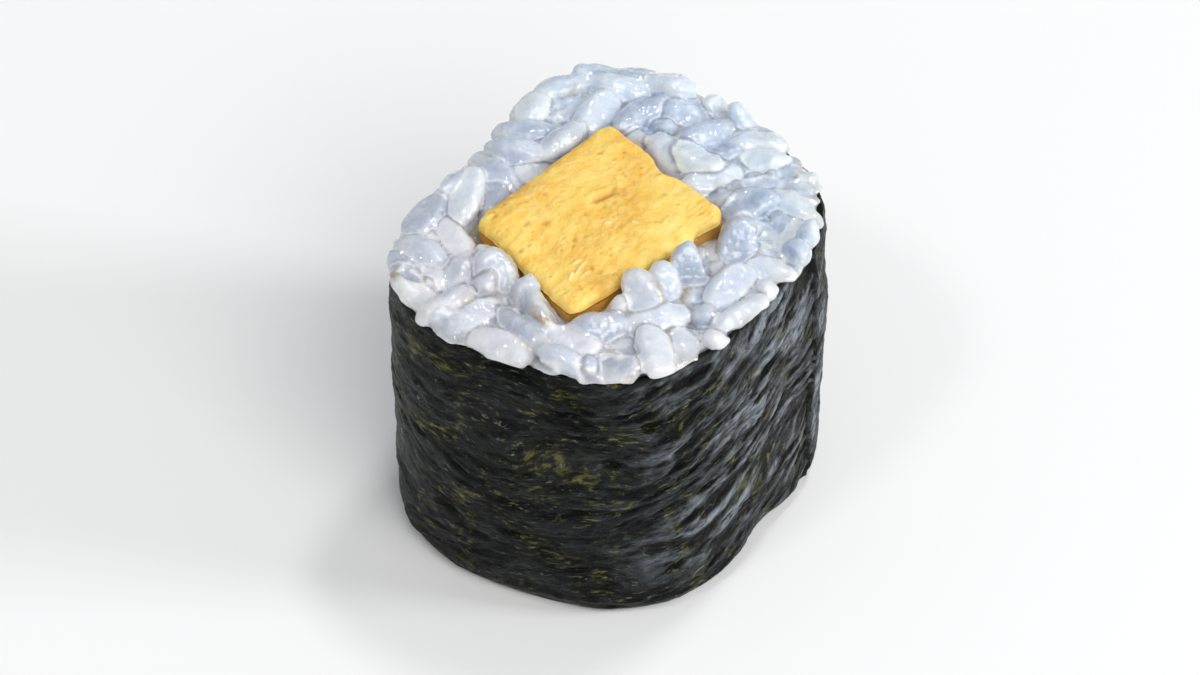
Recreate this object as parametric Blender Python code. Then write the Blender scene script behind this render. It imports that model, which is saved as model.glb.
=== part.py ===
"""One cut round of maki: a square stick of grilled egg omelette in packed rice, wrapped in nori.

It stands on one cut face, as served. Metres, +Z up, with the side shown to the guest towards -Y
and the origin on the table, under the middle of the piece.
"""

import math

import bmesh
import bpy
import numpy as np
from mathutils import Matrix, Vector

MM = 0.001

# The roll, seen along its axis, is a circle pressed out of round by low waves, with crests in degrees.
ROLL_RADIUS = 13.95 * MM
ROLL_WAVES = ((2, 1.36 * MM, 55), (3, 0.60 * MM, -33), (4, 0.72 * MM, 12))  # per turn, height, crest
RICE_TOP = 24.2 * MM
NORI_TOP = 23.3 * MM
LEAN, LEAN_TOWARDS = 0.5 * MM, 150  # how far the rim stands off the foot, and the way it does, in degrees
NORI_TOP_WAVES = ((2, 0.22 * MM, 130), (5, 0.12 * MM, 20), (9, 0.08 * MM, 50))
NORI_THICKNESS = 0.32 * MM
FIT_GAP = 0.3 * MM

# The wall of the roll tucks in at the table, swells in the middle and draws in under the rim.
FOOT_TUCK, FOOT_HEIGHT = 0.60 * MM, 1.8 * MM
BELLY = 0.20 * MM
RIM_TUCK, RIM_HEIGHT = 0.10 * MM, 3.0 * MM
FOLD_ANGLE, FOLD_SPREAD = -33, 15  # a fold of the sheet, low on the right of the front
FOLD_HEIGHT, FOLD_RISE, FOLD_DEPTH = 3.4 * MM, 1.6 * MM, 0.55 * MM

# Soft creases run slantwise round the sheet: waves round the roll, waves up it, height, start in degrees.
CREASES = ((5, 1.6, 0.07 * MM, 20), (9, -2.3, 0.05 * MM, 140), (14, 3.1, 0.04 * MM, 250))

# The sheet laps over its own start. Its free edge shows as a step on the right.
LAP_EDGE, LAP_TURN, LAP_END_TURN = -9, 38, 7  # degrees

# The omelette stick, as the corners of its cut face: degrees round the roll and distance from its axis.
EGG_CORNERS = ((181, 9.7 * MM), (92, 9.8 * MM), (2, 7.7 * MM), (251, 9.6 * MM))
EGG_TOP = 24.6 * MM
EGG_CORNER_ROUND = 1.1 * MM
EGG_RINGS = ((1.0, -0.42 * MM), (0.985, -0.16 * MM), (0.95, 0.0), (0.82, 0.05 * MM), (0.62, 0.12 * MM),
             (0.40, 0.15 * MM), (0.20, 0.17 * MM))  # size of each ring of the top, and its height
EGG_DENTS = ((0.9, 0.35, 0.09 * MM, 40), (-0.5, 1.1, 0.06 * MM, 200))  # per mm along X and Y, height, start
EGG_SIDE_STEPS = 6

# Cooked short-grain rice, pressed together.
GRAIN_LENGTH = (4.1 * MM, 5.3 * MM)
GRAIN_WIDTH = (2.3 * MM, 2.75 * MM)
GRAIN_FLATNESS = 0.86
GRAIN_BEND = 0.22 * MM
GRAIN_SIDES = 6
GRAIN_RINGS = (-0.62, 0.0, 0.62)
GRAIN_FULLNESS = 2.4
GRAINS_AT_FACE = 118
GRAIN_SLAB = 3.9 * MM
GRAIN_TILT = 0.75
CORE_BELOW_FACE = 1.4 * MM
RICE_OVER_RIM = 0.75 * MM
RICE_CROWN, CROWN_RADIUS, CROWN_REACH = 0.3 * MM, 11.2 * MM, 3.4 * MM
RICE_UNEVEN = 0.3 * MM
FOOT_PRESS = 0.45 * MM
GRAIN_SEED_TOP, GRAIN_SEED_FOOT = 11, 29
STICKY_GAP = 0.2 * MM
RICE_FACES = 8800
SETTLING_STEPS = 140

WALL_SIDES = 72
WALL_ROWS = (0.0, 0.035, 0.085, 0.17, 0.27, 0.38, 0.50, 0.62, 0.74, 0.87, 1.0)
CORE_SIDES = 60
CUTTER_REACH = 8 * MM

NORI_COLOUR = (0.022, 0.026, 0.020)
RICE_COLOUR = (0.62, 0.66, 0.73)
EGG_COLOUR = (0.90, 0.58, 0.14)


def clear_scene():
    for thing in list(bpy.data.objects):
        bpy.data.objects.remove(thing)


def waves(angle, rows):
    """Sum of cosine waves round the roll, at an angle in radians."""
    return sum(height * np.cos(count * (angle - math.radians(crest))) for count, height, crest in rows)


def near(angle, centre, spread):
    """1 at an angle, falling smoothly to 0 a spread away. The angle is in radians, the rest in degrees."""
    away = (angle - math.radians(centre) + math.pi) % (2 * math.pi) - math.pi
    share = np.clip(1 - abs(away) / math.radians(spread), 0, 1)
    return share * share * (3 - 2 * share)


def wall_radius(angle, height):
    """The inside of the nori, at an angle round the roll and a height over the table."""
    foot = np.clip(1 - height / FOOT_HEIGHT, 0, 1)
    rim = np.clip(1 - (NORI_TOP - height) / RIM_HEIGHT, 0, 1)
    belly = np.sin(math.pi * np.clip(height / NORI_TOP, 0, 1))
    fold_line = FOLD_HEIGHT + FOLD_RISE * np.sin(angle - math.radians(FOLD_ANGLE))
    under_fold = np.clip((fold_line - height) / fold_line, 0, 1)
    return (
        ROLL_RADIUS
        + waves(angle, ROLL_WAVES)
        + LEAN * np.cos(angle - math.radians(LEAN_TOWARDS)) * (height / NORI_TOP - 0.5)
        - NORI_THICKNESS
        - FOOT_TUCK * foot**2
        - RIM_TUCK * rim**2
        + BELLY * belly
        - FOLD_DEPTH * near(angle, FOLD_ANGLE, FOLD_SPREAD) * np.sqrt(under_fold)
    )


def crease(angle, share):
    """How far the sheet's outside stands off its inside beyond its thickness, at a share of its height."""
    relief = sum(
        height * (1 + math.cos(count * angle + 2 * math.pi * climb * share + math.radians(start)))
        for count, climb, height, start in CREASES
    )
    return relief * min(1, share / 0.06) * min(1, (1 - share) / 0.06)


def rim_height(angle):
    return NORI_TOP + waves(angle, NORI_TOP_WAVES)


def lap_thickness(turn):
    """How much the second layer of nori adds, at a turn in radians counted from the sheet's free edge."""
    left = (math.radians(LAP_TURN) - turn) / math.radians(LAP_END_TURN)
    return NORI_THICKNESS * min(1.0, max(0.0, left))


def polar(radius, angle, height):
    return Vector((radius * math.cos(angle), radius * math.sin(angle), height))


def new_object(name, bm, colour, roughness):
    bmesh.ops.recalc_face_normals(bm, faces=bm.faces)
    mesh = bpy.data.meshes.new(name)
    bm.to_mesh(mesh)
    bm.free()
    thing = bpy.data.objects.new(name, mesh)
    bpy.context.scene.collection.objects.link(thing)
    if colour:
        material = bpy.data.materials.new(name)
        material.use_nodes = True
        shader = material.node_tree.nodes["Principled BSDF"]
        shader.inputs["Base Color"].default_value = (*colour, 1)
        shader.inputs["Roughness"].default_value = roughness
        mesh.materials.append(material)
    return thing


def skin_between(bm, loops, closed):
    """Quads between each loop of vertices and the next. A closed stack joins its last loop to its first."""
    pairs = list(zip(loops, loops[1:]))
    if closed:
        pairs.append((loops[-1], loops[0]))
    for lower, upper in pairs:
        for i, here in enumerate(lower):
            j = (i + 1) % len(lower)
            bm.faces.new((here, lower[j], upper[j], upper[i]))


def nori():
    """The sheet, a thin wall right round the roll that is double where it laps over its own start."""
    edge = math.radians(LAP_EDGE)
    turns = [2 * math.pi * i / WALL_SIDES for i in range(WALL_SIDES)]
    turns.append(2 * math.pi - math.radians(0.8))  # one sheet thick, just before the free edge
    bm = bmesh.new()
    outside, inside = [], []
    for share in WALL_ROWS:
        outer, inner = [], []
        for turn in turns:
            angle = edge + turn
            height = share * rim_height(angle)
            radius = float(wall_radius(angle, height))
            inner.append(bm.verts.new(polar(radius, angle, height)))
            thickness = NORI_THICKNESS + lap_thickness(turn) + crease(angle, share)
            outer.append(bm.verts.new(polar(radius + thickness, angle, height)))
        outside.append(outer)
        inside.append(inner)
    skin_between(bm, outside + inside[::-1], closed=True)
    sheet = new_object("nori", bm, NORI_COLOUR, 0.45)
    sheet.data.shade_smooth()
    sheet.data.set_sharp_from_angle(angle=math.radians(40))
    return sheet


def egg_outline(margin):
    """The omelette's cut face grown by a margin, with its corners rounded."""
    corners = [polar(distance, math.radians(angle), 0) for angle, distance in EGG_CORNERS]
    centre = sum(corners, Vector()) / len(corners)
    bm = bmesh.new()
    face = bm.faces.new([bm.verts.new(corner) for corner in reversed(corners)])
    bmesh.ops.bevel(
        bm, geom=list(bm.verts), offset=EGG_CORNER_ROUND, segments=3, profile=0.5, affect="VERTICES"
    )
    face = max(bm.faces, key=lambda f: f.calc_area())
    points = [v.co.copy() for v in face.verts]
    bm.free()
    return [p + (p - centre).normalized() * margin * 1.25 for p in points]


def prism(name, outline, low, high, colour=None, roughness=0.5):
    bm = bmesh.new()
    floor = [bm.verts.new((p.x, p.y, low)) for p in outline]
    roof = [bm.verts.new((p.x, p.y, high)) for p in outline]
    skin_between(bm, [floor, roof], closed=False)
    bm.faces.new(floor)
    bm.faces.new(roof)
    return new_object(name, bm, colour, roughness)


def omelette():
    """The stick, cut square and standing a little proud of the rice, its cut face soft-edged and uneven."""
    corner_points = egg_outline(0)
    outline = []
    for here, after in zip(corner_points, corner_points[1:] + corner_points[:1]):
        steps = EGG_SIDE_STEPS if (after - here).length > 2 * EGG_CORNER_ROUND else 1
        outline += [here.lerp(after, i / steps) for i in range(steps)]
    middle = sum(outline, Vector()) / len(outline)
    bm = bmesh.new()
    loops = [[bm.verts.new(p) for p in outline]]
    for size, rise in EGG_RINGS:
        ring = []
        for p in outline:
            place = middle.lerp(p, size)
            dents = sum(
                height * math.cos(across * place.x / MM + along * place.y / MM + math.radians(start))
                for across, along, height, start in EGG_DENTS
            )
            ring.append(bm.verts.new((place.x, place.y, EGG_TOP + rise + dents)))
        loops.append(ring)
    skin_between(bm, loops, closed=False)
    bm.faces.new(loops[0])
    bmesh.ops.poke(bm, faces=[bm.faces.new(loops[-1])])
    stick = new_object("omelette", bm, EGG_COLOUR, 0.5)
    stick.data.shade_smooth()
    stick.data.set_sharp_from_angle(angle=math.radians(50))
    return stick


def egg_sides():
    """Each side of the omelette's cut face, as its outward normal and its distance from the roll's axis."""
    corners = [np.array(polar(distance, math.radians(angle), 0))[:2] for angle, distance in EGG_CORNERS]
    sides = []
    for here, after in zip(corners, corners[1:] + corners[:1]):
        along = (after - here) / np.linalg.norm(after - here)
        normal = np.array((-along[1], along[0]))
        sides.append((normal, float(normal @ here)))
    return sides


def settled_grains(seed, press, crown, uneven):
    """Rice grains near one cut face, as arrays of middles, axes, lengths and widths.

    Each grain is three balls in a row. Balls of other grains, the nori, the omelette and the cut face
    push them away a little at a time, until the ring is evenly full. Heights count outwards from the face.
    """
    draw = np.random.default_rng(seed)
    count = GRAINS_AT_FACE
    angle = draw.uniform(0, 2 * math.pi, count)
    out = draw.uniform(0.55, 0.95, count) * ROLL_RADIUS
    middle = np.stack([out * np.cos(angle), out * np.sin(angle), draw.uniform(-GRAIN_SLAB, 0, count)], axis=1)
    axis = draw.normal(size=(count, 3)) * (1, 1, GRAIN_TILT)
    length = draw.uniform(*GRAIN_LENGTH, count)
    width = draw.uniform(*GRAIN_WIDTH, count)
    ceiling = press + np.repeat(draw.normal(0, uneven, count), 3)
    ball = np.repeat(width * 0.46, 3)
    same = np.repeat(np.arange(count), 3)
    apart = same[:, None] != same[None, :]
    for _ in range(SETTLING_STEPS):
        axis /= np.linalg.norm(axis, axis=1, keepdims=True)
        reach = (length - width) / 2
        steps = np.stack([-reach, 0 * reach, reach], axis=1)
        balls = (middle[:, None] + axis[:, None] * steps[:, :, None]).reshape(-1, 3)
        between = balls[:, None] - balls[None]
        gap = np.linalg.norm(between, axis=2) + 1e-9
        overlap = np.clip(ball[:, None] + ball[None] - gap, 0, None) * apart
        push = (between / gap[..., None] * overlap[..., None]).sum(1) * 0.35
        push += walls_push(balls, ball, ceiling, crown)
        push = push.reshape(count, 3, 3)
        middle = middle + push.mean(1)
        axis = axis + (push[:, 2] - push[:, 0]) / (2 * reach[:, None])
    axis /= np.linalg.norm(axis, axis=1, keepdims=True)
    return middle, axis, length, width


def walls_push(balls, ball, ceiling, crown):
    """How far the nori, the omelette, the cut face and the rice below push each ball."""
    push = np.zeros_like(balls)
    flat = balls[:, :2]
    out = np.linalg.norm(flat, axis=1)
    limit = wall_radius(np.arctan2(flat[:, 1], flat[:, 0]), NORI_TOP / 2) - FIT_GAP + RICE_OVER_RIM - ball
    push[:, :2] -= flat / out[:, None] * np.clip(out - limit, 0, None)[:, None]
    sides = egg_sides()
    clear = np.stack([flat @ normal - offset for normal, offset in sides])
    nearest = clear.argmax(axis=0)
    short = np.clip(ball + FIT_GAP - clear.max(axis=0), 0, None)
    push[:, :2] += np.stack([normal for normal, _ in sides])[nearest] * short[:, None]
    dome = crown * (1 - np.clip((out - CROWN_RADIUS) / CROWN_REACH, -1.4, 1.4) ** 2)
    push[:, 2] -= np.clip(balls[:, 2] + ball - ceiling - dome, 0, None)
    push[:, 2] += np.clip(-GRAIN_SLAB - balls[:, 2] + ball, 0, None)
    return push


def grain(name, middle, axis, length, width, roll, bend):
    """One grain: rings of a blunt-ended oval, a little flat and a little bent."""
    middle, axis = Vector(middle), Vector(axis)
    side = Matrix.Rotation(roll, 3, axis) @ axis.orthogonal().normalized()
    over = side.cross(axis)
    bm = bmesh.new()
    loops = []
    for along in GRAIN_RINGS:
        swell = (1 - abs(along) ** GRAIN_FULLNESS) ** (1 / GRAIN_FULLNESS) * width / 2
        heart = middle + axis * along * length / 2 + over * bend * (1 - along * along)
        ring = []
        for i in range(GRAIN_SIDES):
            turn = 2 * math.pi * i / GRAIN_SIDES
            across = side * math.cos(turn) + over * math.sin(turn) * GRAIN_FLATNESS
            ring.append(bm.verts.new(heart + across * swell))
        loops.append(ring)
    skin_between(bm, loops, closed=False)
    for ring, end in ((loops[0], -1), (loops[-1], 1)):
        tip = bm.verts.new(middle + axis * end * length / 2)
        for i in range(GRAIN_SIDES):
            bm.faces.new((ring[i], ring[(i + 1) % GRAIN_SIDES], tip))
    return new_object(name, bm, None, 0)


def rice_core():
    """The packed rice behind both cut faces, clear of the nori all round."""
    bm = bmesh.new()
    loops = []
    top = RICE_TOP - CORE_BELOW_FACE
    for share in (0.0, 0.1, 0.25, 0.5, 0.8, 1.0):
        height = CORE_BELOW_FACE + (top - CORE_BELOW_FACE) * share
        ring = []
        for i in range(CORE_SIDES):
            angle = 2 * math.pi * i / CORE_SIDES
            radius = float(wall_radius(angle, height)) - FIT_GAP - 0.1 * MM
            ring.append(bm.verts.new(polar(radius, angle, height)))
        loops.append(ring)
    skin_between(bm, loops, closed=False)
    bm.faces.new(loops[0])
    bm.faces.new(loops[-1])
    return new_object("rice", bm, RICE_COLOUR, 0.35)


def nori_clearance():
    """Everything outside the rice, up to just over the nori's rim."""
    bm = bmesh.new()
    far = ROLL_RADIUS + CUTTER_REACH
    rows = [-CUTTER_REACH / NORI_TOP, *WALL_ROWS]
    inner_loops, outer_loops = [], []
    for share in rows:
        inner, outer = [], []
        for i in range(CORE_SIDES):
            angle = 2 * math.pi * i / CORE_SIDES
            height = share * (rim_height(angle) + FIT_GAP)
            radius = float(wall_radius(angle, max(0.0, height))) - FIT_GAP
            inner.append(bm.verts.new(polar(radius, angle, height)))
            outer.append(bm.verts.new(polar(far, angle, height)))
        inner_loops.append(inner)
        outer_loops.append(outer)
    skin_between(bm, outer_loops + inner_loops[::-1], closed=True)
    return new_object("nori_clearance", bm, None, 0)


def apply_modifier(thing, change):
    """Makes what a modifier gives the object's own mesh."""
    graph = bpy.context.evaluated_depsgraph_get()
    mesh = bpy.data.meshes.new_from_object(thing.evaluated_get(graph))
    thing.modifiers.remove(change)
    old = thing.data
    thing.data = mesh
    bpy.data.meshes.remove(old)


def apply_boolean(thing, operation, other):
    """Joins or cuts with an object or a collection, and removes what it used."""
    change = thing.modifiers.new(operation, "BOOLEAN")
    change.operation = operation
    change.solver = "MANIFOLD"
    if isinstance(other, bpy.types.Collection):
        change.operand_type = "COLLECTION"
        change.collection = other
        used = list(other.objects)
    else:
        change.object = other
        used = [other]
    apply_modifier(thing, change)
    for helper in used:
        bpy.data.objects.remove(helper)
    if isinstance(other, bpy.types.Collection):
        bpy.data.collections.remove(other)


def press_together(thing):
    """Closes the finest gaps between joined grains, as sticky rice does, with no more faces than it needs."""
    melt = thing.modifiers.new("melt", "REMESH")
    melt.mode = "VOXEL"
    melt.voxel_size = STICKY_GAP
    melt.adaptivity = 0
    apply_modifier(thing, melt)
    keep_main_body(thing)
    fewer = thing.modifiers.new("fewer", "DECIMATE")
    fewer.ratio = RICE_FACES / len(thing.data.polygons)
    apply_modifier(thing, fewer)
    keep_main_body(thing)


def keep_main_body(thing):
    """Keeps the largest closed shell, which drops loose scraps and fills the hollows that joining sealed."""
    bm = bmesh.new()
    bm.from_mesh(thing.data)
    left = set(bm.faces)
    shells = []
    while left:
        shell, front = set(), [left.pop()]
        while front:
            face = front.pop()
            shell.add(face)
            for edge in face.edges:
                for other in edge.link_faces:
                    if other in left:
                        left.remove(other)
                        front.append(other)
        shells.append(shell)
    main = max(shells, key=len)
    bmesh.ops.delete(bm, geom=[f for shell in shells if shell is not main for f in shell], context="FACES")
    bmesh.ops.triangulate(bm, faces=bm.faces)
    bm.to_mesh(thing.data)
    bm.free()


def face_of_grains(grains, face, seed, press, crown, uneven):
    """Adds to a collection the grains that show at one cut face."""
    middles, axes, lengths, widths = settled_grains(seed, press, crown, uneven)
    draw = np.random.default_rng(seed + 1)
    rolls = draw.uniform(0, 2 * math.pi, GRAINS_AT_FACE)
    bends = draw.uniform(-GRAIN_BEND, GRAIN_BEND, GRAINS_AT_FACE)
    for i in range(GRAINS_AT_FACE):
        if middles[i, 2] + widths[i] / 2 < -CORE_BELOW_FACE:
            continue
        middle, axis = middles[i].copy(), axes[i].copy()
        if face == "foot":
            middle[2] *= -1
            axis[2] *= -1
        else:
            middle[2] += RICE_TOP
        piece = grain(f"{face}_{i}", middle, axis, lengths[i], widths[i], rolls[i], bends[i])
        bpy.context.scene.collection.objects.unlink(piece)
        grains.objects.link(piece)


def rice():
    """The core with grains joined on at both cut faces, cut clear of nori and omelette and set down flat."""
    body = rice_core()
    grains = bpy.data.collections.new("grains")
    bpy.context.scene.collection.children.link(grains)
    face_of_grains(grains, "top", GRAIN_SEED_TOP, 0.0, RICE_CROWN, RICE_UNEVEN)
    face_of_grains(grains, "foot", GRAIN_SEED_FOOT, FOOT_PRESS, 0.0, 0.0)
    apply_boolean(body, "UNION", grains)
    above = RICE_TOP + CUTTER_REACH
    apply_boolean(body, "DIFFERENCE", prism("egg_clearance", egg_outline(FIT_GAP), -CUTTER_REACH, above))
    apply_boolean(body, "DIFFERENCE", nori_clearance())
    press_together(body)
    square = [Vector((x, y, 0)) * 2 * ROLL_RADIUS for x, y in ((-1, -1), (1, -1), (1, 1), (-1, 1))]
    apply_boolean(body, "DIFFERENCE", prism("table", square, -CUTTER_REACH, 0))
    keep_main_body(body)
    return body


def centre_on_table(things):
    """Moves the meshes so that the origin lies under the middle of the whole piece."""
    points = np.array([v.co[:2] for thing in things for v in thing.data.vertices])
    middle = (points.max(axis=0) + points.min(axis=0)) / 2
    for thing in things:
        thing.data.transform(Matrix.Translation((-middle[0], -middle[1], 0)))


clear_scene()
centre_on_table([nori(), omelette(), rice()])
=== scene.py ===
"""One cut round of maki, dressed: omelette stick, packed rice and nori, each built over its solid."""

import math

import bpy
import numpy as np
from mathutils import Matrix, Vector, noise


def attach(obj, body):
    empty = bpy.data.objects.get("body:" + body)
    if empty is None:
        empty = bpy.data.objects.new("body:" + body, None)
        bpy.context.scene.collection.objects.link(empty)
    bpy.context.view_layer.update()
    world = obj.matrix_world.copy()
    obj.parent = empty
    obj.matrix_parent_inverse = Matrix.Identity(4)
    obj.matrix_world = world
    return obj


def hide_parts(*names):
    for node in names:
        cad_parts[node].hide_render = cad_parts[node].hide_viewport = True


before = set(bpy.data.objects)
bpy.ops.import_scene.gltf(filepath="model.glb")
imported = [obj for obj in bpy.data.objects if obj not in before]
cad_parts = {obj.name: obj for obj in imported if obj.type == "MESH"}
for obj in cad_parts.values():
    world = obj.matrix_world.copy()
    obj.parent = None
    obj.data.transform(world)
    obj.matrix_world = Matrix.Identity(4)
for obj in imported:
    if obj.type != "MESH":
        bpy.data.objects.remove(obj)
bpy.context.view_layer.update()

# The omelette stick.
# Beaten egg, grilled in thin layers that are rolled up, then cut square. The rice and nori are rolled
# round it and the roll is cut across, so it shows a soft, finely porous cut face and browner sides.
MM = 0.001
ROLL_AXIS = Vector((0.257, -0.601, 0)) * MM  # where the roll's axis stands on the table
AXIS_XY = np.array(ROLL_AXIS)[:2]
EGG_CORNERS = ((181, 9.7), (92, 9.8), (2, 7.7), (251, 9.6))  # degrees round the roll, mm from its axis
EGG_TOP = 24.6 * MM
EGG_CORNER_ROUND = 0.19  # of half a side
EGG_STEPS, EGG_SIDE_ROWS = 150, 26
EGG_TIGHTER = 0.45  # how much closer the lines of the face's grid lie towards its edge
EGG_DOME = ((0, 0.17), (0.2, 0.17), (0.4, 0.15), (0.62, 0.12), (0.82, 0.05), (0.90, 0.0), (0.94, -0.08),
            (0.965, -0.18), (0.985, -0.36), (1.0, -0.65))  # share of the way out, mm over EGG_TOP
EGG_LUMPS = ((4.5, 0.20, 2, 1), (1.3, 0.05, 3, 2), (0.35, 0.018, 2, 3))  # size, height in mm, octaves, seed
STROKE = 50  # degrees: the knife's strokes and the rolled layers run this way
STROKE_SIZE, LAYER_SIZE, CURD_SIZE = (2.2, 0.5, 1), (4.6, 1.6, 1), 0.7  # mm, along and across the stroke
SCRAPED, LAYERED, CURDLED, GRAINY = 0.024, 0.020, 0.022, 0.06  # mm: how high each stands, and all together
TORN_SIDE = (0.76, -0.65)  # the stick's front right side, whose edge tore as it was cut
TORN_FROM, TORN_WIDE, TORN_HIGH, TORN_LOW = 4.2, 1.6, 0.34, 0.10  # mm out from the axis, and mm up and down
RAGGED_FROM, RAGGED_WIDE, RAGGED_OUT, RAGGED_IN = 4.8, 1.5, 0.30, 0.12  # mm, for the same side's outline
EGG_WAVER = 0.20  # mm
EGG_PORES, PORE_SIZE, PORE_SPREAD = 110, (0.05, 0.11), 0.93  # count, mm, share of the face
PORE_TURN, PORE_STRETCH, PORE_SEED = (42, 45), (1.0, 1.5), 5  # mean and spread in degrees, length to width
EGG_NOTCH = (3.9, 4.7, 1.3, 0.55)  # x, y, reach and depth in mm: where the edge is pressed in
EGG_SLIT = (-0.73, 1.18, 0.95, 0.30, 0.34, 33)  # x, y, half length, half width, depth in mm, turn in degrees
SLIT_LIP, SLIT_BOW = 0.10, 0.10  # mm, and how much it is bent
EGG_WARM = ((1.8, 1.6, 3.4, 1.0), (-0.6, -6.6, 2.4, 0.9))  # x, y, reach in mm, strength: where it is browner
EGG_STRANDS = ((-2.3, -5.7, 1.3, 62), (-1.9, -6.2, 0.9, 48), (-2.9, -6.4, 0.8, 75), (-2.5, -5.1, 0.7, 40),
               (-0.4, -1.5, 0.5, 20), (1.4, -1.5, 0.5, 160))  # x, y, length in mm, turn in degrees
STRAND_HIGH, STRAND_WIDE, STRAND_BOW = 0.13, 0.09, 0.18  # mm, mm, and how much it is bent


def linear(colour):
    """A colour such as #F2C14E as the linear values that Blender's sockets take."""
    parts = [int(colour[i : i + 2], 16) / 255 for i in (1, 3, 5)]
    return [c / 12.92 if c <= 0.04045 else ((c + 0.055) / 1.055) ** 2.4 for c in parts] + [1]


def give(node, values):
    """Sets a node's own sockets to fixed values."""
    for socket, value in values.items():
        node.inputs[socket].default_value = value


def add(tree, kind, values=None, links=None, stops=None, **settings):
    """Adds a node to a tree, with its settings, socket values, incoming links and colour stops."""
    made = tree.nodes.new(kind)
    for name, value in settings.items():
        setattr(made, name, value)
    give(made, values or {})
    for socket, source in (links or {}).items():
        tree.links.new(source, made.inputs[socket])
    for i, (place, colour) in enumerate(stops or ()):
        stop = made.color_ramp.elements[i] if i < 2 else made.color_ramp.elements.new(place)
        stop.position = place
        stop.color = linear(colour)
    return made


def new_material(name):
    """A new material, with its node tree and its shader."""
    material = bpy.data.materials.new(name)
    material.use_nodes = True
    tree = material.node_tree
    return material, tree, tree.nodes["Principled BSDF"]


def new_piece(name, points, faces, material):
    """A smooth mesh piece in the row frame, with its faces outwards."""
    mesh = bpy.data.meshes.new(name)
    mesh.from_pydata(points if isinstance(points, list) else points.tolist(), [], faces)
    mesh.validate()
    piece = bpy.data.objects.new(name, mesh)
    bpy.context.scene.collection.objects.link(piece)
    mesh.materials.append(material)
    mesh.shade_smooth()
    return piece


def store(piece, name, values):
    """Keeps one number for each point of a piece, for its material to read."""
    mark = piece.data.attributes.new(name, "FLOAT", "POINT")
    mark.data.foreach_set("value", np.asarray(values, np.float32))


def soft_noise(points, octaves, seed):
    """Smooth noise from about -1 to 1 at each point. Its coarsest lumps are one unit apart."""
    shift = Vector((seed * 7.1, seed * 3.7, seed * 5.3))
    return np.array([noise.fractal(Vector(p) + shift, 1.0, 2.0, octaves) for p in points])


def egg_outline_place(u, v):
    """Where a spot of the cut face lies, in mm from the roll's axis. u and v run from -1 to 1."""
    u, v = np.asarray(u, float), np.asarray(v, float)
    out = np.maximum(np.abs(u), np.abs(v)) + 1e-9
    a, b = np.abs(u) / out, np.abs(v) / out
    reach = np.hypot(a, b)
    a, b = a / reach, b / reach
    heart = 1 - EGG_CORNER_ROUND
    along = (a + b) * heart
    arc = along + np.sqrt(np.clip(along**2 - 2 * heart**2 + EGG_CORNER_ROUND**2, 0, None))
    in_corner = np.minimum(a, b) / np.maximum(a, b) > heart
    shrink = np.where(in_corner, np.minimum(arc / reach, 1), 1) ** (out**3)
    u, v = u * shrink, v * shrink
    place = np.zeros(u.shape + (2,))
    for (angle, far), (p, q) in zip(EGG_CORNERS, ((-1, -1), (-1, 1), (1, 1), (1, -1))):
        corner = far * np.array((math.cos(math.radians(angle)), math.sin(math.radians(angle))))
        place += ((1 + p * u) * (1 + q * v) / 4)[..., None] * corner
    return place


def along_across(away, degrees):
    """How far spots lie along and across a line that is turned so many degrees."""
    turn = math.radians(degrees)
    return away @ (math.cos(turn), math.sin(turn)), away @ (-math.sin(turn), math.cos(turn))


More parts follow.
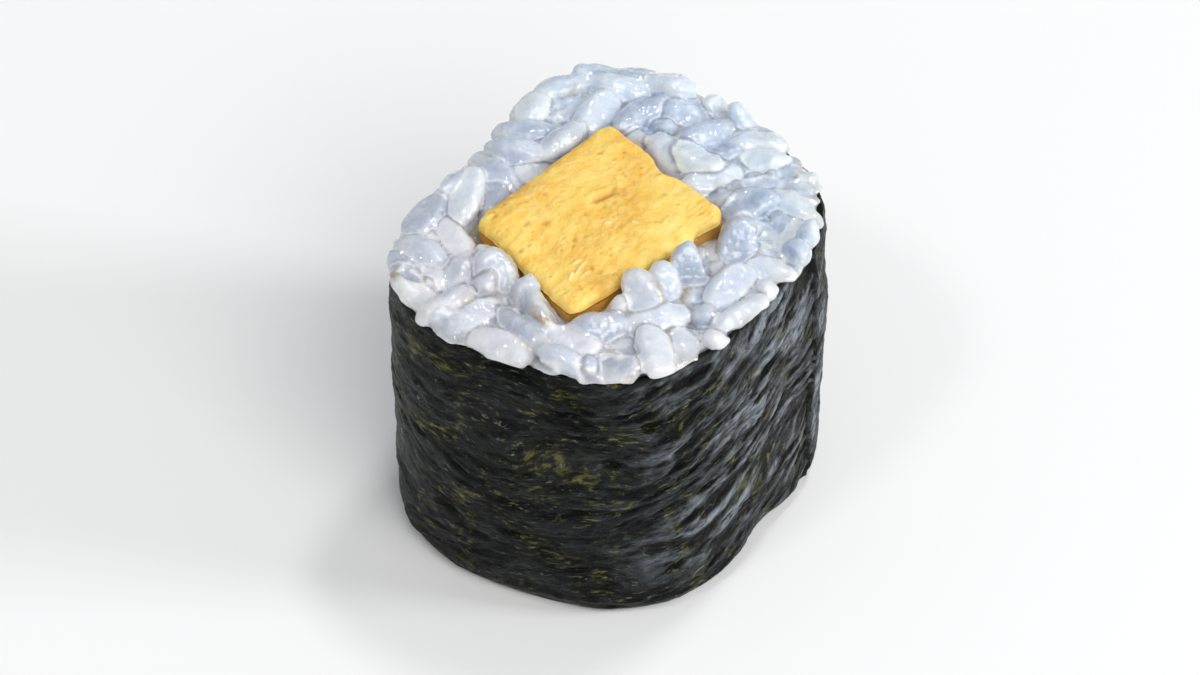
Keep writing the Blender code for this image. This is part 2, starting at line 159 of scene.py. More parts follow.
def egg_face():
    """The cut face as a grid: its spots, how high each is, its share of the way out, and its marks.

    A mark is what the material needs to know, with the value that the sides of the stick have.
    """
    even = np.linspace(-1, 1, EGG_STEPS + 1)
    lines = (1 - EGG_TIGHTER) * even + EGG_TIGHTER * (1.5 * even - 0.5 * even**3)
    u, v = (grid.ravel() for grid in np.meshgrid(lines, lines, indexing="ij"))
    flat = egg_outline_place(u, v)
    out = np.maximum(np.abs(u), np.abs(v))
    rise = np.interp(out, *zip(*EGG_DOME))
    shape = np.concatenate([flat, np.zeros((len(flat), 1))], axis=1)
    for size, height, octaves, seed in EGG_LUMPS:
        rise += height * soft_noise(shape / size, octaves, seed)
    stroked = shape @ np.array(Matrix.Rotation(math.radians(STROKE), 3, "Z"))
    layers = 1 - 2.4 * np.abs(soft_noise(stroked / LAYER_SIZE, 3, 9))
    grainy = SCRAPED * soft_noise(stroked / STROKE_SIZE, 3, 6) + LAYERED * np.clip(layers, -0.8, 1)
    grainy += CURDLED * soft_noise(shape / CURD_SIZE, 2, 10)
    rise += grainy
    torn = np.clip((flat @ TORN_SIDE - TORN_FROM) / TORN_WIDE, 0, 1) * np.clip((1 - out) / 0.05, 0, 1)
    rise += torn * (TORN_HIGH * np.clip(soft_noise(shape, 2, 7), -0.6, 0.9) - TORN_LOW)
    here = flat + AXIS_XY / MM
    # dark is painted shade: the pores and the slit are painted darker, as shade falls into them.
    dark = np.zeros(len(flat))
    draw = np.random.default_rng(PORE_SEED)
    for _ in range(EGG_PORES):
        spot = egg_outline_place(*draw.uniform(-PORE_SPREAD, PORE_SPREAD, 2)) + AXIS_XY / MM
        size = draw.uniform(*PORE_SIZE) * (1 + draw.random() ** 6 * 1.2)
        along, across = along_across(here - spot, draw.normal(*PORE_TURN))
        near = np.exp(-(((along / draw.uniform(*PORE_STRETCH)) ** 2 + across**2) / size**2))
        rise -= near * size * 0.9
        dark = np.maximum(dark, near * draw.uniform(0.2, 0.8))
    x, y, half, wide, deep, turn = EGG_SLIT
    along, across = along_across(here - (x, y), turn)
    across = across + SLIT_BOW * along**2
    near = np.exp(-((along / half) ** 4 + (across / wide) ** 2))
    lip = np.exp(-((along / half) ** 4 + ((across - wide * 1.4) / wide) ** 2))
    rise += SLIT_LIP * lip - deep * near
    dark = np.maximum(dark, near * 0.9)
    light = np.zeros(len(flat))
    for x, y, length, turn in EGG_STRANDS:
        along, across = along_across(here - (x, y), turn)
        near = np.exp(-((along / (length / 2)) ** 4 + ((across + STRAND_BOW * along**2) / STRAND_WIDE) ** 2))
        rise += STRAND_HIGH * near
        light = np.maximum(light, near)
    warm = np.zeros(len(flat))
    for x, y, far, share in EGG_WARM:
        warm += share * np.exp(-(((here - (x, y)) ** 2).sum(axis=1)) / far**2)
    browned = np.clip((out - 0.985) / 0.015, 0, 1)
    marks = {"pore_shade": (dark * 0.8, 0), "strand": (light * 0.8, 0), "warm": (warm, 0),
             "grainy": (grainy / GRAINY, 0), "side": (browned * 0.35, 0.8)}
    return flat * MM, EGG_TOP + rise * MM, out, marks


egg_cooked, tree, shader = new_material("grilled_egg_omelette_cut")
# Set egg: opaque but soft, so light spreads a little under the skin; the pores carry a warm painted shade.
place = add(tree, "ShaderNodeTexCoord").outputs["Object"]
clouds = add(tree, "ShaderNodeTexNoise", {"Scale": 1 / (5.5 * MM), "Detail": 3, "Roughness": 0.6},
             {"Vector": place})
curds = add(tree, "ShaderNodeTexNoise", {"Scale": 1 / (0.9 * MM), "Detail": 4, "Roughness": 0.65},
            {"Vector": place})
warmth = add(tree, "ShaderNodeAttribute", attribute_name="warm").outputs["Fac"]
clouded = add(tree, "ShaderNodeMath", {1: 0.16}, {0: warmth, 2: clouds.outputs["Fac"]},
              operation="MULTIPLY_ADD")
yolk = add(tree, "ShaderNodeValToRGB", links={"Fac": clouded.outputs[0]},
           stops=((0.34, "#F9D97A"), (0.66, "#EAB750"), (0.5, "#F5CD66")))
grainy_at = add(tree, "ShaderNodeAttribute", attribute_name="grainy").outputs["Fac"]
# Painted shade in the valleys of the scraped relief and a painted highlight on its tops, by how high each
# spot stands.
painted_valley_shade = add(tree, "ShaderNodeMapRange", {"From Min": -0.1, "From Max": -0.9, "To Max": 0.38},
              {"Value": grainy_at})
valley_shaded_yolk = add(tree, "ShaderNodeMix", {"B": linear("#E0A53B")}, {
    "Factor": painted_valley_shade.outputs["Result"], "A": yolk.outputs["Color"]}, data_type="RGBA")
tops = add(tree, "ShaderNodeMapRange", {"From Min": 0.0, "From Max": 0.9, "To Max": 0.6},
           {"Value": grainy_at})
top_lit_yolk = add(tree, "ShaderNodeMix", {"B": linear("#FDE58E")}, {
    "Factor": tops.outputs["Result"], "A": valley_shaded_yolk.outputs["Result"]}, data_type="RGBA")
mottled = add(tree, "ShaderNodeMapRange", {"From Min": 0.5, "From Max": 0.8, "To Min": 0.0, "To Max": 0.4},
              {"Value": curds.outputs["Fac"]})
pale = add(tree, "ShaderNodeMix", {"B": linear("#FBE7A4")}, {
    "Factor": mottled.outputs["Result"], "A": top_lit_yolk.outputs["Result"]}, data_type="RGBA")
strands = add(tree, "ShaderNodeMix", {"B": linear("#F8E4A4")}, {
    "Factor": add(tree, "ShaderNodeAttribute", attribute_name="strand").outputs["Fac"],
    "A": pale.outputs["Result"]}, data_type="RGBA")
# Painted shade: the pores and the slit are painted a darker warm brown.
painted_pore_shade = add(tree, "ShaderNodeMix", {"B": linear("#C08530")}, {
    "Factor": add(tree, "ShaderNodeAttribute", attribute_name="pore_shade").outputs["Fac"],
    "A": strands.outputs["Result"]}, data_type="RGBA")
sides = add(tree, "ShaderNodeMix", {"B": linear("#CC8A30")}, {
    "Factor": add(tree, "ShaderNodeAttribute", attribute_name="side").outputs["Fac"],
    "A": painted_pore_shade.outputs["Result"]}, data_type="RGBA")
crumb = add(tree, "ShaderNodeTexNoise", {"Scale": 1 / (0.28 * MM), "Detail": 3}, {"Vector": place})
bump = add(tree, "ShaderNodeBump", {"Strength": 0.8, "Distance": 0.10 * MM}, {"Height": crumb.outputs["Fac"]})
tree.links.new(sides.outputs["Result"], shader.inputs["Base Color"])
tree.links.new(bump.outputs["Normal"], shader.inputs["Normal"])
give(shader, {"Roughness": 0.46, "IOR": 1.4, "Subsurface Weight": 0.35,
    "Subsurface Radius": (1.0, 0.62, 0.22), "Subsurface Scale": 0.8 * MM})


def omelette_stick():
    """The stick as one closed piece: its finely shaped upper cut, its sides and its flat lower cut."""
    flat, height, out, marks = egg_face()
    grid = np.arange(len(flat)).reshape(EGG_STEPS + 1, EGG_STEPS + 1)
    faces = np.stack([grid[:-1, :-1], grid[:-1, 1:], grid[1:, 1:], grid[1:, :-1]], axis=2)
    faces = faces.reshape(-1, 4).tolist()
    points = np.concatenate([flat, height[:, None]], axis=1)
    rows = [np.concatenate([grid[:-1, 0], grid[-1, :-1], grid[:0:-1, -1], grid[0, :0:-1]])]
    rim = points[rows[0]]
    for row in range(1, EGG_SIDE_ROWS + 1):
        rows.append(np.arange(len(points), len(points) + len(rim)))
        points = np.concatenate([points, rim * (1, 1, 1 - (row / EGG_SIDE_ROWS) ** 1.5)])
    spots = points / MM
    across = spots[:, :2]
    outward = across / (np.linalg.norm(across, axis=1)[:, None] + 1e-6)
    waver = EGG_WAVER * soft_noise(spots / (1.9, 1.9, 1.1), 4, 4)
    ragged = np.clip((across @ TORN_SIDE - RAGGED_FROM) / RAGGED_WIDE, 0, 1)
    waver += ragged * (RAGGED_OUT * soft_noise(spots / (1.1, 1.1, 1.6), 3, 8) - RAGGED_IN)
    x, y, reach, depth = EGG_NOTCH
    far = np.linalg.norm(across + AXIS_XY / MM - (x, y), axis=1) / reach
    waver -= depth * np.exp(-far**4)
    sides = len(points) - len(flat)
    weight = np.concatenate([np.clip((out - 0.8) / 0.2, 0, 1), np.ones(sides)])
    points[:, :2] += outward * (waver * weight * MM)[:, None]
    points[:, :2] += AXIS_XY
    for upper, lower in zip(rows, rows[1:]):
        faces += np.stack([upper, lower, np.roll(lower, -1), np.roll(upper, -1)], axis=1).tolist()
    faces.append(rows[-1][::-1].tolist())
    stick = new_piece("omelette_stick", points, faces, egg_cooked)
    stick.data.polygons[-1].use_smooth = False  # the lower cut
    for name, (on_face, on_sides) in marks.items():
        store(stick, name, np.concatenate([on_face, np.full(sides, on_sides)]))
    return stick


stick = omelette_stick()
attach(stick, "root")
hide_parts("omelette")

# The rice.
# Short-grain rice, cooked, seasoned and pressed round the stick. At both cut faces the grains show one
# by one, stuck to their neighbours; in between it is one packed mass that the nori hides.
ROLL_RADIUS = 13.95 * MM
ROLL_WAVES = ((2, 1.36, 55), (3, 0.60, -33), (4, 0.72, 12))  # per turn, height in mm, crest in degrees
RICE_TOP = 24.2 * MM
NORI_TOP = 23.3 * MM
NORI_TOP_WAVES = ((2, 0.22, 130), (5, 0.12, 20), (9, 0.08, 50))
NORI_THICKNESS = 0.32 * MM
LEAN, LEAN_TOWARDS = 0.5 * MM, 150
FOOT_TUCK, FOOT_HEIGHT = 0.60 * MM, 1.8 * MM
BELLY = 0.20 * MM
RIM_TUCK, RIM_HEIGHT = 0.10 * MM, 3.0 * MM
FOLD_ANGLE, FOLD_SPREAD = -33, 15
FOLD_HEIGHT, FOLD_RISE, FOLD_DEPTH = 3.4 * MM, 1.6 * MM, 0.55 * MM
GRAIN_LENGTH, GRAIN_WIDTH = (4.1 * MM, 5.3 * MM), (2.3 * MM, 2.75 * MM)
GRAIN_RINGS, GRAIN_SIDES, GRAIN_FLATNESS = 16, 20, 0.84
GRAIN_FORMS = 9  # how many shapes of grain there are
GRAIN_BALL = 0.46  # a grain packs as three balls, this many of its widths in radius
PACK_ROUNDS, PACK_GIVE = 140, 0.35
GRAIN_FULLNESS, GRAIN_TAPER, GRAIN_BEND = (1.7, 2.4), 0.24, 0.26  # bend and facet are in half widths
GRAIN_FACET = (0.34, 0.78)  # how far from its middle a grain is cut or pressed flat
GRAINS_AT_FACE, GRAIN_SLAB, GRAIN_TILT = 118, 3.9 * MM, 0.75
RICE_TRIANGLES = 188000  # for each cut face: flat stretches get larger faces until this is met
RICE_OVER_RIM, RICE_UNEVEN, FOOT_PRESS = 0.75 * MM, 0.3 * MM, 0.45 * MM
RICE_CROWN, CROWN_RADIUS, CROWN_REACH = 0.3 * MM, 11.2 * MM, 3.4 * MM
FIT_GAP = 0.3 * MM
GRAIN_SEED_TOP, GRAIN_SEED_FOOT = 11, 29
RICE_BED = {"top": (RICE_TOP - GRAIN_SLAB - 0.6 * MM, RICE_TOP - 1.15 * MM),
            "foot": (1.0 * MM, GRAIN_SLAB + 0.6 * MM)}  # from and to
RING_HOLE, RING_GAP = 0.62, 0.05 * MM  # share of the way to the stick's nearest corner, and off the nori
STICKY_GAP = {"top": 0.115 * MM, "foot": 0.165 * MM}  # how close grains lie when starch bridges them
MELT = 0.10 * MM  # how far starch fills the creases between grains
PAINTED_RIM_GLOW, RIM_WIDE, OWN_TINT = 0.3, 0.3, 0.78  # how much paler a grain's rim is painted than its clear middle, as a painted glow
EDGE_LIGHT, EDGE_SHADE = (0.09, 0.09), (-0.10, 0.12)  # how far in from a grain's edge its painted highlight and its painted shade lie, and how wide
EDGE_STEP, EDGE_LEAST = 0.5 * MM, 0.15  # a grain this much over the next has its full edge, another the least
GAP_WIDE = 0.22
PRESSED_FLAT, PRESS_ROUNDS = 0.3, 220  # how much of the grains' roundness is pressed flat, and how widely
DENT_DEPTH, DENT_SIZE = 0.15 * MM, 1.7 * MM
RICE_EDGE = (0.22 * MM, 1.5 * MM, 0.08 * MM, 0.35 * MM)  # its waver, the waver's size, how low, how soft
WALL_SOFT, WALL_GAP = 0.5 * MM, 0.02 * MM  # how gently grains bend back from the nori, and the gap to it
FILL_GRAINS, FILL_TRIES = 170, 6000
FILL_WIDTH, FILL_STRETCH, FILL_SINK = (1.8, 2.4), (1.5, 2.2), (-0.45, 0.0)  # mm, times as long, mm
FILL_BELOW, FILL_RIM_BELOW = -0.55 * MM, -0.1 * MM  # how low a hollow is, and how low one at the rim is
FILL_RIM = 0.85  # the rim starts this share of the way out
FILL_FROM, FILL_REACH = 0.42, 0.56  # of the nori's radius
FILL_FROM_STICK = 0.9 * MM
NO_GRAIN = -9 * MM
FLAT_SIDE_SPREAD = 0.6  # radians
RIM_STEP, RIM_WIDTH, RIM_HEADING, RIM_TILT = 4, (1.9, 2.4), 0.35, 0.25  # degrees, mm, radians, radians
RIM_BACK, RIM_UP = (0.20, 0.34), (0.0, 0.25)  # of a grain's width
RIM_SPILL = 1.2 * MM  # how far grains hang out over the edge of the nori
RIM_COVER = 0.2 * MM  # how far out from the inside of the nori its rim is looked at for grains
RIM_COVERED = 0.1 * MM  # a grain that stands this high over the rim covers it
DRAWN_OUT, SLIMMER = 1.04, 0.93  # a grain lies longer and thinner between its neighbours than it packs
MARKED_AT_ONCE = 20000  # points, to spare memory
LEANING_ROOM = 1.5 * MM  # grains that settled nearer than this to a leaning one are left out
LEANING_GRAINS = (  # middle x, y, z in mm, length, width, turn in plan and tilt upwards in degrees
    (-7.9, -5.6, 23.6, 4.4, 2.7, 118, 40), (-5.9, -7.6, 23.5, 4.0, 2.2, 70, 58),
    (-4.5, -9.3, 23.7, 4.2, 2.6, 125, 25), (-1.3, -10.6, 23.7, 4.8, 2.5, 8, 6),
    (1.9, -8.1, 24.0, 4.6, 2.8, 120, 42), (3.3, -6.9, 23.9, 4.2, 2.3, 105, 55),
    (5.1, -5.4, 24.1, 4.4, 2.6, 100, 60), (8.3, -3.2, 23.7, 5.0, 2.5, 72, 48),
    (9.3, 1.1, 23.7, 4.2, 2.6, 20, 15), (5.7, 5.6, 24.0, 4.6, 2.6, -38, 6),
)


def waves(angle, rows):
    """The height of a few waves round the roll at an angle."""
    return sum(height * MM * np.cos(count * (angle - math.radians(crest))) for count, height, crest in rows)


def near_angle(angle, centre, spread):
    """1 at an angle, falling smoothly to 0 a spread away. The angle is in radians, the rest in degrees."""
    away = (angle - math.radians(centre) + math.pi) % (2 * math.pi) - math.pi
    share = np.clip(1 - abs(away) / math.radians(spread), 0, 1)
    return share * share * (3 - 2 * share)


def wall_radius(angle, height):
    """The inside of the nori, at an angle round the roll and a height over the table."""
    foot = np.clip(1 - height / FOOT_HEIGHT, 0, 1)
    rim = np.clip(1 - (NORI_TOP - height) / RIM_HEIGHT, 0, 1)
    belly = np.sin(math.pi * np.clip(height / NORI_TOP, 0, 1))
    fold_line = FOLD_HEIGHT + FOLD_RISE * np.sin(angle - math.radians(FOLD_ANGLE))
    under_fold = np.clip((fold_line - height) / fold_line, 0, 1)
    return (
        ROLL_RADIUS + waves(angle, ROLL_WAVES) - NORI_THICKNESS - FOOT_TUCK * foot**2 - RIM_TUCK * rim**2
        + LEAN * np.cos(angle - math.radians(LEAN_TOWARDS)) * (height / NORI_TOP - 0.5) + BELLY * belly
        - FOLD_DEPTH * near_angle(angle, FOLD_ANGLE, FOLD_SPREAD) * np.sqrt(under_fold)
    )


def rim_height(angle):
    """How high the nori's cut rim stands at an angle round the roll."""
    return NORI_TOP + waves(angle, NORI_TOP_WAVES)


def egg_sides():
    """Each side of the stick, as its outward direction and its distance from the roll's axis."""
    corners = []
    for angle, far in EGG_CORNERS:
        corners.append(far * MM * np.array((math.cos(math.radians(angle)), math.sin(math.radians(angle)))))
    sides = []
    for here, after in zip(corners, corners[1:] + corners[:1]):
        along = (after - here) / np.linalg.norm(after - here)
        normal = np.array((-along[1], along[0]))
        sides.append((normal, float(normal @ here)))
    return sides


def walls_push(balls, ball, ceiling, crown):
    """How far the nori, the stick, the cut face and the rice below push each ball of a grain."""
    push = np.zeros_like(balls)
    flat = balls[:, :2]
    out = np.linalg.norm(flat, axis=1)
    limit = wall_radius(np.arctan2(flat[:, 1], flat[:, 0]), NORI_TOP / 2) - FIT_GAP + RICE_OVER_RIM - ball
    push[:, :2] -= flat / out[:, None] * np.clip(out - limit, 0, None)[:, None]
    sides = egg_sides()
    clear = np.stack([flat @ normal - offset for normal, offset in sides])
    nearest = clear.argmax(axis=0)
    short = np.clip(ball + FIT_GAP - clear.max(axis=0), 0, None)
    push[:, :2] += np.stack([normal for normal, _ in sides])[nearest] * short[:, None]
    dome = crown * (1 - np.clip((out - CROWN_RADIUS) / CROWN_REACH, -1.4, 1.4) ** 2)
    push[:, 2] -= np.clip(balls[:, 2] + ball - ceiling - dome, 0, None)
    push[:, 2] += np.clip(-GRAIN_SLAB - balls[:, 2] + ball, 0, None)
    return push


def settled_grains(seed, press, crown, uneven):
    """Middles, axes, lengths and widths of the grains at a cut face, pushed apart until they lie packed."""
    draw = np.random.default_rng(seed)
    count = GRAINS_AT_FACE
    angle = draw.uniform(0, 2 * math.pi, count)
    out = draw.uniform(0.55, 0.95, count) * ROLL_RADIUS
    middle = np.stack([out * np.cos(angle), out * np.sin(angle), draw.uniform(-GRAIN_SLAB, 0, count)], axis=1)
    axis = draw.normal(size=(count, 3)) * (1, 1, GRAIN_TILT)
    length = draw.uniform(*GRAIN_LENGTH, count)
    width = draw.uniform(*GRAIN_WIDTH, count)
    ceiling = press + np.repeat(draw.normal(0, uneven, count), 3)
    ball = np.repeat(width * GRAIN_BALL, 3)
    same = np.repeat(np.arange(count), 3)
    apart = same[:, None] != same[None, :]
    for _ in range(PACK_ROUNDS):
        axis /= np.linalg.norm(axis, axis=1, keepdims=True)
        reach = (length - width) / 2
        steps = np.stack([-reach, 0 * reach, reach], axis=1)
        balls = (middle[:, None] + axis[:, None] * steps[:, :, None]).reshape(-1, 3)
        between = balls[:, None] - balls[None]
        gap = np.linalg.norm(between, axis=2) + 1e-9
        overlap = np.clip(ball[:, None] + ball[None] - gap, 0, None) * apart
        push = (between / gap[..., None] * overlap[..., None]).sum(1) * PACK_GIVE
        push += walls_push(balls, ball, ceiling, crown)
        push = push.reshape(count, 3, 3)
        middle = middle + push.mean(1)
        axis = axis + (push[:, 2] - push[:, 0]) / (2 * reach[:, None])
    axis /= np.linalg.norm(axis, axis=1, keepdims=True)
    return middle, axis, length, width


def grain_form():
    """Nodes for one cooked grain of unit half length and width: full, tapered, bent, with one flat side."""
    form = bpy.data.node_groups.new("cooked_grain", "GeometryNodeTree")
    for name, kind in (("Rings", "Int"), ("Sides", "Int"), ("Flatness", "Float"), ("Fullness", "Float"),
                       ("Taper", "Float"), ("Bend", "Float"), ("Facet", "Float")):
        form.interface.new_socket(name, in_out="INPUT", socket_type="NodeSocket" + kind)
    form.interface.new_socket("Grain", in_out="OUTPUT", socket_type="NodeSocketGeometry")
    given = add(form, "NodeGroupInput").outputs
    ball = add(form, "GeometryNodeMeshUVSphere", {"Radius": 1},
               {"Segments": given["Sides"], "Rings": given["Rings"]})
    position = add(form, "GeometryNodeInputPosition").outputs[0]
    spot = add(form, "ShaderNodeSeparateXYZ", links={0: position}).outputs
    length = add(form, "ShaderNodeMath", links={0: spot["Z"]}, operation="ABSOLUTE").outputs[0]
    power = add(form, "ShaderNodeMath", links={0: length, 1: given["Fullness"]}, operation="POWER").outputs[0]
    rest = add(form, "ShaderNodeMath", {0: 1.0}, {1: power}, operation="SUBTRACT", use_clamp=True).outputs[0]
    root = add(form, "ShaderNodeMath", {0: 1.0}, {1: given["Fullness"]}, operation="DIVIDE").outputs[0]
    swell = add(form, "ShaderNodeMath", links={0: rest, 1: root}, operation="POWER").outputs[0]
    square = add(form, "ShaderNodeMath", links={0: length, 1: length}, operation="MULTIPLY").outputs[0]
    hollow = add(form, "ShaderNodeMath", {0: 1.0}, {1: square}, operation="SUBTRACT",
                 use_clamp=True).outputs[0]
    circle = add(form, "ShaderNodeMath", links={0: hollow}, operation="SQRT").outputs[0]
    ratio = add(form, "ShaderNodeMath", links={0: swell, 1: circle}, operation="DIVIDE").outputs[0]
    lean = add(form, "ShaderNodeMath", links={0: spot["Z"], 1: given["Taper"]},
               operation="MULTIPLY").outputs[0]
    narrow = add(form, "ShaderNodeMath", {0: 1.0}, {1: lean}, operation="SUBTRACT").outputs[0]
    wide = add(form, "ShaderNodeMath", links={0: ratio, 1: narrow}, operation="MULTIPLY").outputs[0]
    bow = add(form, "ShaderNodeMath", links={0: hollow, 1: given["Bend"]}, operation="MULTIPLY").outputs[0]
    side = add(form, "ShaderNodeMath", links={0: spot["X"], 1: wide, 2: bow},
               operation="MULTIPLY_ADD").outputs[0]
    thin = add(form, "ShaderNodeMath", links={0: wide, 1: given["Flatness"]}, operation="MULTIPLY").outputs[0]
    over = add(form, "ShaderNodeMath", links={0: spot["Y"], 1: thin}, operation="MULTIPLY").outputs[0]
    flat = add(form, "ShaderNodeMath", links={0: over, 1: given["Facet"]}, operation="MINIMUM").outputs[0]
    placed = add(form, "ShaderNodeCombineXYZ", links={"X": side, "Y": flat, "Z": spot["Z"]}).outputs[0]
    shaped = add(form, "GeometryNodeSetPosition",
                 links={"Geometry": ball.outputs["Mesh"], "Position": placed})
    add(form, "NodeGroupOutput", links={"Grain": shaped.outputs[0]})
    return form


def grains_at_points(draw):
    """Nodes that lay a grain at each marked point, by its form, turn and size, over the bed in the mesh."""
    grains = bpy.data.node_groups.new("grains_on_bed", "GeometryNodeTree")
    for name, kind in (("Geometry", "Geometry"), ("Rings", "Int"), ("Sides", "Int"), ("Flatness", "Float")):
        grains.interface.new_socket(name, in_out="INPUT", socket_type="NodeSocket" + kind)
    grains.interface.new_socket("Geometry", in_out="OUTPUT", socket_type="NodeSocketGeometry")
    given = add(grains, "NodeGroupInput").outputs
    form = grain_form()
    forms = add(grains, "GeometryNodeGeometryToInstance")
    for _ in range(GRAIN_FORMS):
        shape = {"Fullness": draw.uniform(*GRAIN_FULLNESS), "Taper": draw.uniform(-GRAIN_TAPER, GRAIN_TAPER),
                 "Bend": draw.uniform(-GRAIN_BEND, GRAIN_BEND), "Facet": draw.uniform(*GRAIN_FACET)}
        one = add(grains, "GeometryNodeGroup", shape, {k: given[k] for k in ("Rings", "Sides", "Flatness")},
                  node_tree=form)
        grains.links.new(one.outputs["Grain"], forms.inputs[0])
    kept = {}
    for name, kind in (("is_grain", "BOOLEAN"), ("grain_form", "INT"), ("grain_turn", "FLOAT_VECTOR"),
                       ("grain_size", "FLOAT_VECTOR")):
        reader = add(grains, "GeometryNodeInputNamedAttribute", {"Name": name}, data_type=kind)
        kept[name] = reader.outputs["Attribute"]
    parted = add(grains, "GeometryNodeSeparateGeometry", links={0: given["Geometry"], 1: kept["is_grain"]})
    turned = add(grains, "FunctionNodeEulerToRotation", links={0: kept["grain_turn"]})
    laid = add(grains, "GeometryNodeInstanceOnPoints", {"Pick Instance": True}, {
        "Points": parted.outputs[0], "Instance": forms.outputs[0], "Instance Index": kept["grain_form"],
        "Rotation": turned.outputs[0], "Scale": kept["grain_size"]})
    joined = add(grains, "GeometryNodeJoinGeometry", links={0: parted.outputs[1]})
    grains.links.new(laid.outputs[0], joined.inputs[0])
    real = add(grains, "GeometryNodeRealizeInstances", links={0: joined.outputs[0]})
    coated = add(grains, "GeometryNodeSetMaterial", {"Material": rice_cooked}, {0: real.outputs[0]})
    add(grains, "NodeGroupOutput", links={0: coated.outputs[0]})
    return grains


def ring_faces(loops, columns):
    """Faces between loops of points, each closed on itself, with the last loop joined to the first."""
    here = np.arange(loops * columns).reshape(loops, columns)
    beside, above = np.roll(here, -1, axis=1), np.roll(here, -1, axis=0)
    return np.stack([here, beside, np.roll(beside, -1, axis=0), above], axis=2).reshape(-1, 4).tolist()


def ring_points(low, high, sides=90, rows=4):
    """Points and faces of a closed ring of packed rice between stick and nori, from one height to another."""
    turn = np.linspace(0, 2 * math.pi, sides, endpoint=False)
    inner = np.full(sides, min(far for _, far in EGG_CORNERS) * RING_HOLE * MM)
    loops = []
    for height in np.linspace(low, high, rows):
        out = wall_radius(turn, height) - RING_GAP
        loops.append(np.stack([out * np.cos(turn), out * np.sin(turn), np.full(sides, height)], axis=1))
    for height in (high, low):
        loops.append(np.stack([inner * np.cos(turn), inner * np.sin(turn), np.full(sides, height)], axis=1))
    return np.concatenate(loops), ring_faces(len(loops), sides)


rice_cooked, tree, shader = new_material("cooked_short_grain_rice")
# Gelled starch: moist and translucent, so light spreads through each grain; its thin edges carry a painted
# glow, grain edges painted highlights and shade, and gaps painted shade.
place = add(tree, "ShaderNodeTexCoord").outputs["Object"]
# The grain's own tint, painted paler near its edges as a painted glow.
tint = add(tree, "ShaderNodeAttribute", attribute_name="tint_and_painted_glow").outputs["Fac"]
grain_colour = add(tree, "ShaderNodeValToRGB", links={"Fac": tint},
                   stops=((0.0, "#BEC6D2"), (1.0, "#FCFDFF"), (0.35, "#D3DAE4"), (0.7, "#EBEFF6")))
# Painted highlight on an upper grain's edge, and painted shade just past it on the lower grain.
painted_edge_mark = add(tree, "ShaderNodeAttribute", attribute_name="painted_edge_light_shade").outputs["Fac"]
painted_edge_highlight = add(tree, "ShaderNodeMapRange", {"From Min": 0.15, "From Max": 0.85, "To Max": 0.95},
                {"Value": painted_edge_mark})
painted_under_edge_shade = add(tree, "ShaderNodeMapRange", {"From Min": 0.0, "From Max": -0.9, "To Max": 0.75},
                 {"Value": painted_edge_mark})
shaded = add(tree, "ShaderNodeMix", {"B": linear("#9A9B9F")}, {
    "Factor": painted_under_edge_shade.outputs["Result"], "A": grain_colour.outputs["Color"]}, data_type="RGBA")
edged = add(tree, "ShaderNodeMix", {"B": linear("#FFFFFF")}, {
    "Factor": painted_edge_highlight.outputs["Result"], "A": shaded.outputs["Result"]}, data_type="RGBA")
# Painted shade: beige-grey where the surface sinks into a gap between grains.
gap = add(tree, "ShaderNodeAttribute", attribute_name="painted_gap_shade").outputs["Fac"]
painted_hollow_shade = add(tree, "ShaderNodeMix", {"B": linear("#A89D86")}, {"Factor": gap, "A": edged.outputs["Result"]},
           data_type="RGBA")
milky = add(tree, "ShaderNodeTexNoise", {"Scale": 1 / (1.1 * MM), "Detail": 4, "Roughness": 0.7},
            {"Vector": place})
milk = add(tree, "ShaderNodeMapRange", {"From Min": 0.48, "From Max": 0.70, "To Max": 0.5},
           {"Value": milky.outputs["Fac"]})
body = add(tree, "ShaderNodeMix", {"B": linear("#F8FAFC")}, {
    "Factor": milk.outputs["Result"], "A": painted_hollow_shade.outputs["Result"]}, data_type="RGBA")
# Painted light: warmer towards the front left and bluer towards the back right, as the light falls.
across = add(tree, "ShaderNodeVectorMath", {1: (0.6, 0.8, 0)}, {0: place}, operation="DOT_PRODUCT")
side = add(tree, "ShaderNodeMapRange", {"From Min": -11 * MM, "From Max": 9 * MM},
           {"Value": across.outputs["Value"]})
painted_light_tint = add(tree, "ShaderNodeValToRGB", links={"Fac": side.outputs["Result"]},
           stops=((0.0, "#F7F6F9"), (1.0, "#EBF4FF")))
painted_cool_side = add(tree, "ShaderNodeMix", {"Factor": 1.0}, {"A": body.outputs["Result"], "B": painted_light_tint.outputs["Color"]},
           data_type="RGBA", blend_type="MULTIPLY")
tree.links.new(painted_cool_side.outputs["Result"], shader.inputs["Base Color"])
dimples = add(tree, "ShaderNodeTexNoise", {"Scale": 1 / (0.7 * MM), "Detail": 2}, {"Vector": place})
bump = add(tree, "ShaderNodeBump", {"Strength": 1.0, "Distance": 0.18 * MM},
           {"Height": dimples.outputs["Fac"]})
tree.links.new(bump.outputs["Normal"], shader.inputs["Normal"])
wet = add(tree, "ShaderNodeTexNoise", {"Scale": 1 / (0.9 * MM), "Detail": 1}, {"Vector": place})
film = add(tree, "ShaderNodeBump", {"Strength": 1.0, "Distance": 0.3 * MM}, {"Height": wet.outputs["Fac"]})
tree.links.new(film.outputs["Normal"], shader.inputs["Coat Normal"])
give(shader, {"Roughness": 0.42, "IOR": 1.38, "Subsurface Weight": 1.0,
    "Subsurface Radius": (0.95, 0.97, 1.1), "Subsurface Scale": 2.0 * MM, "Transmission Weight": 0.12,
    "Coat Weight": 1.0, "Coat Roughness": 0.04, "Coat IOR": 1.6})


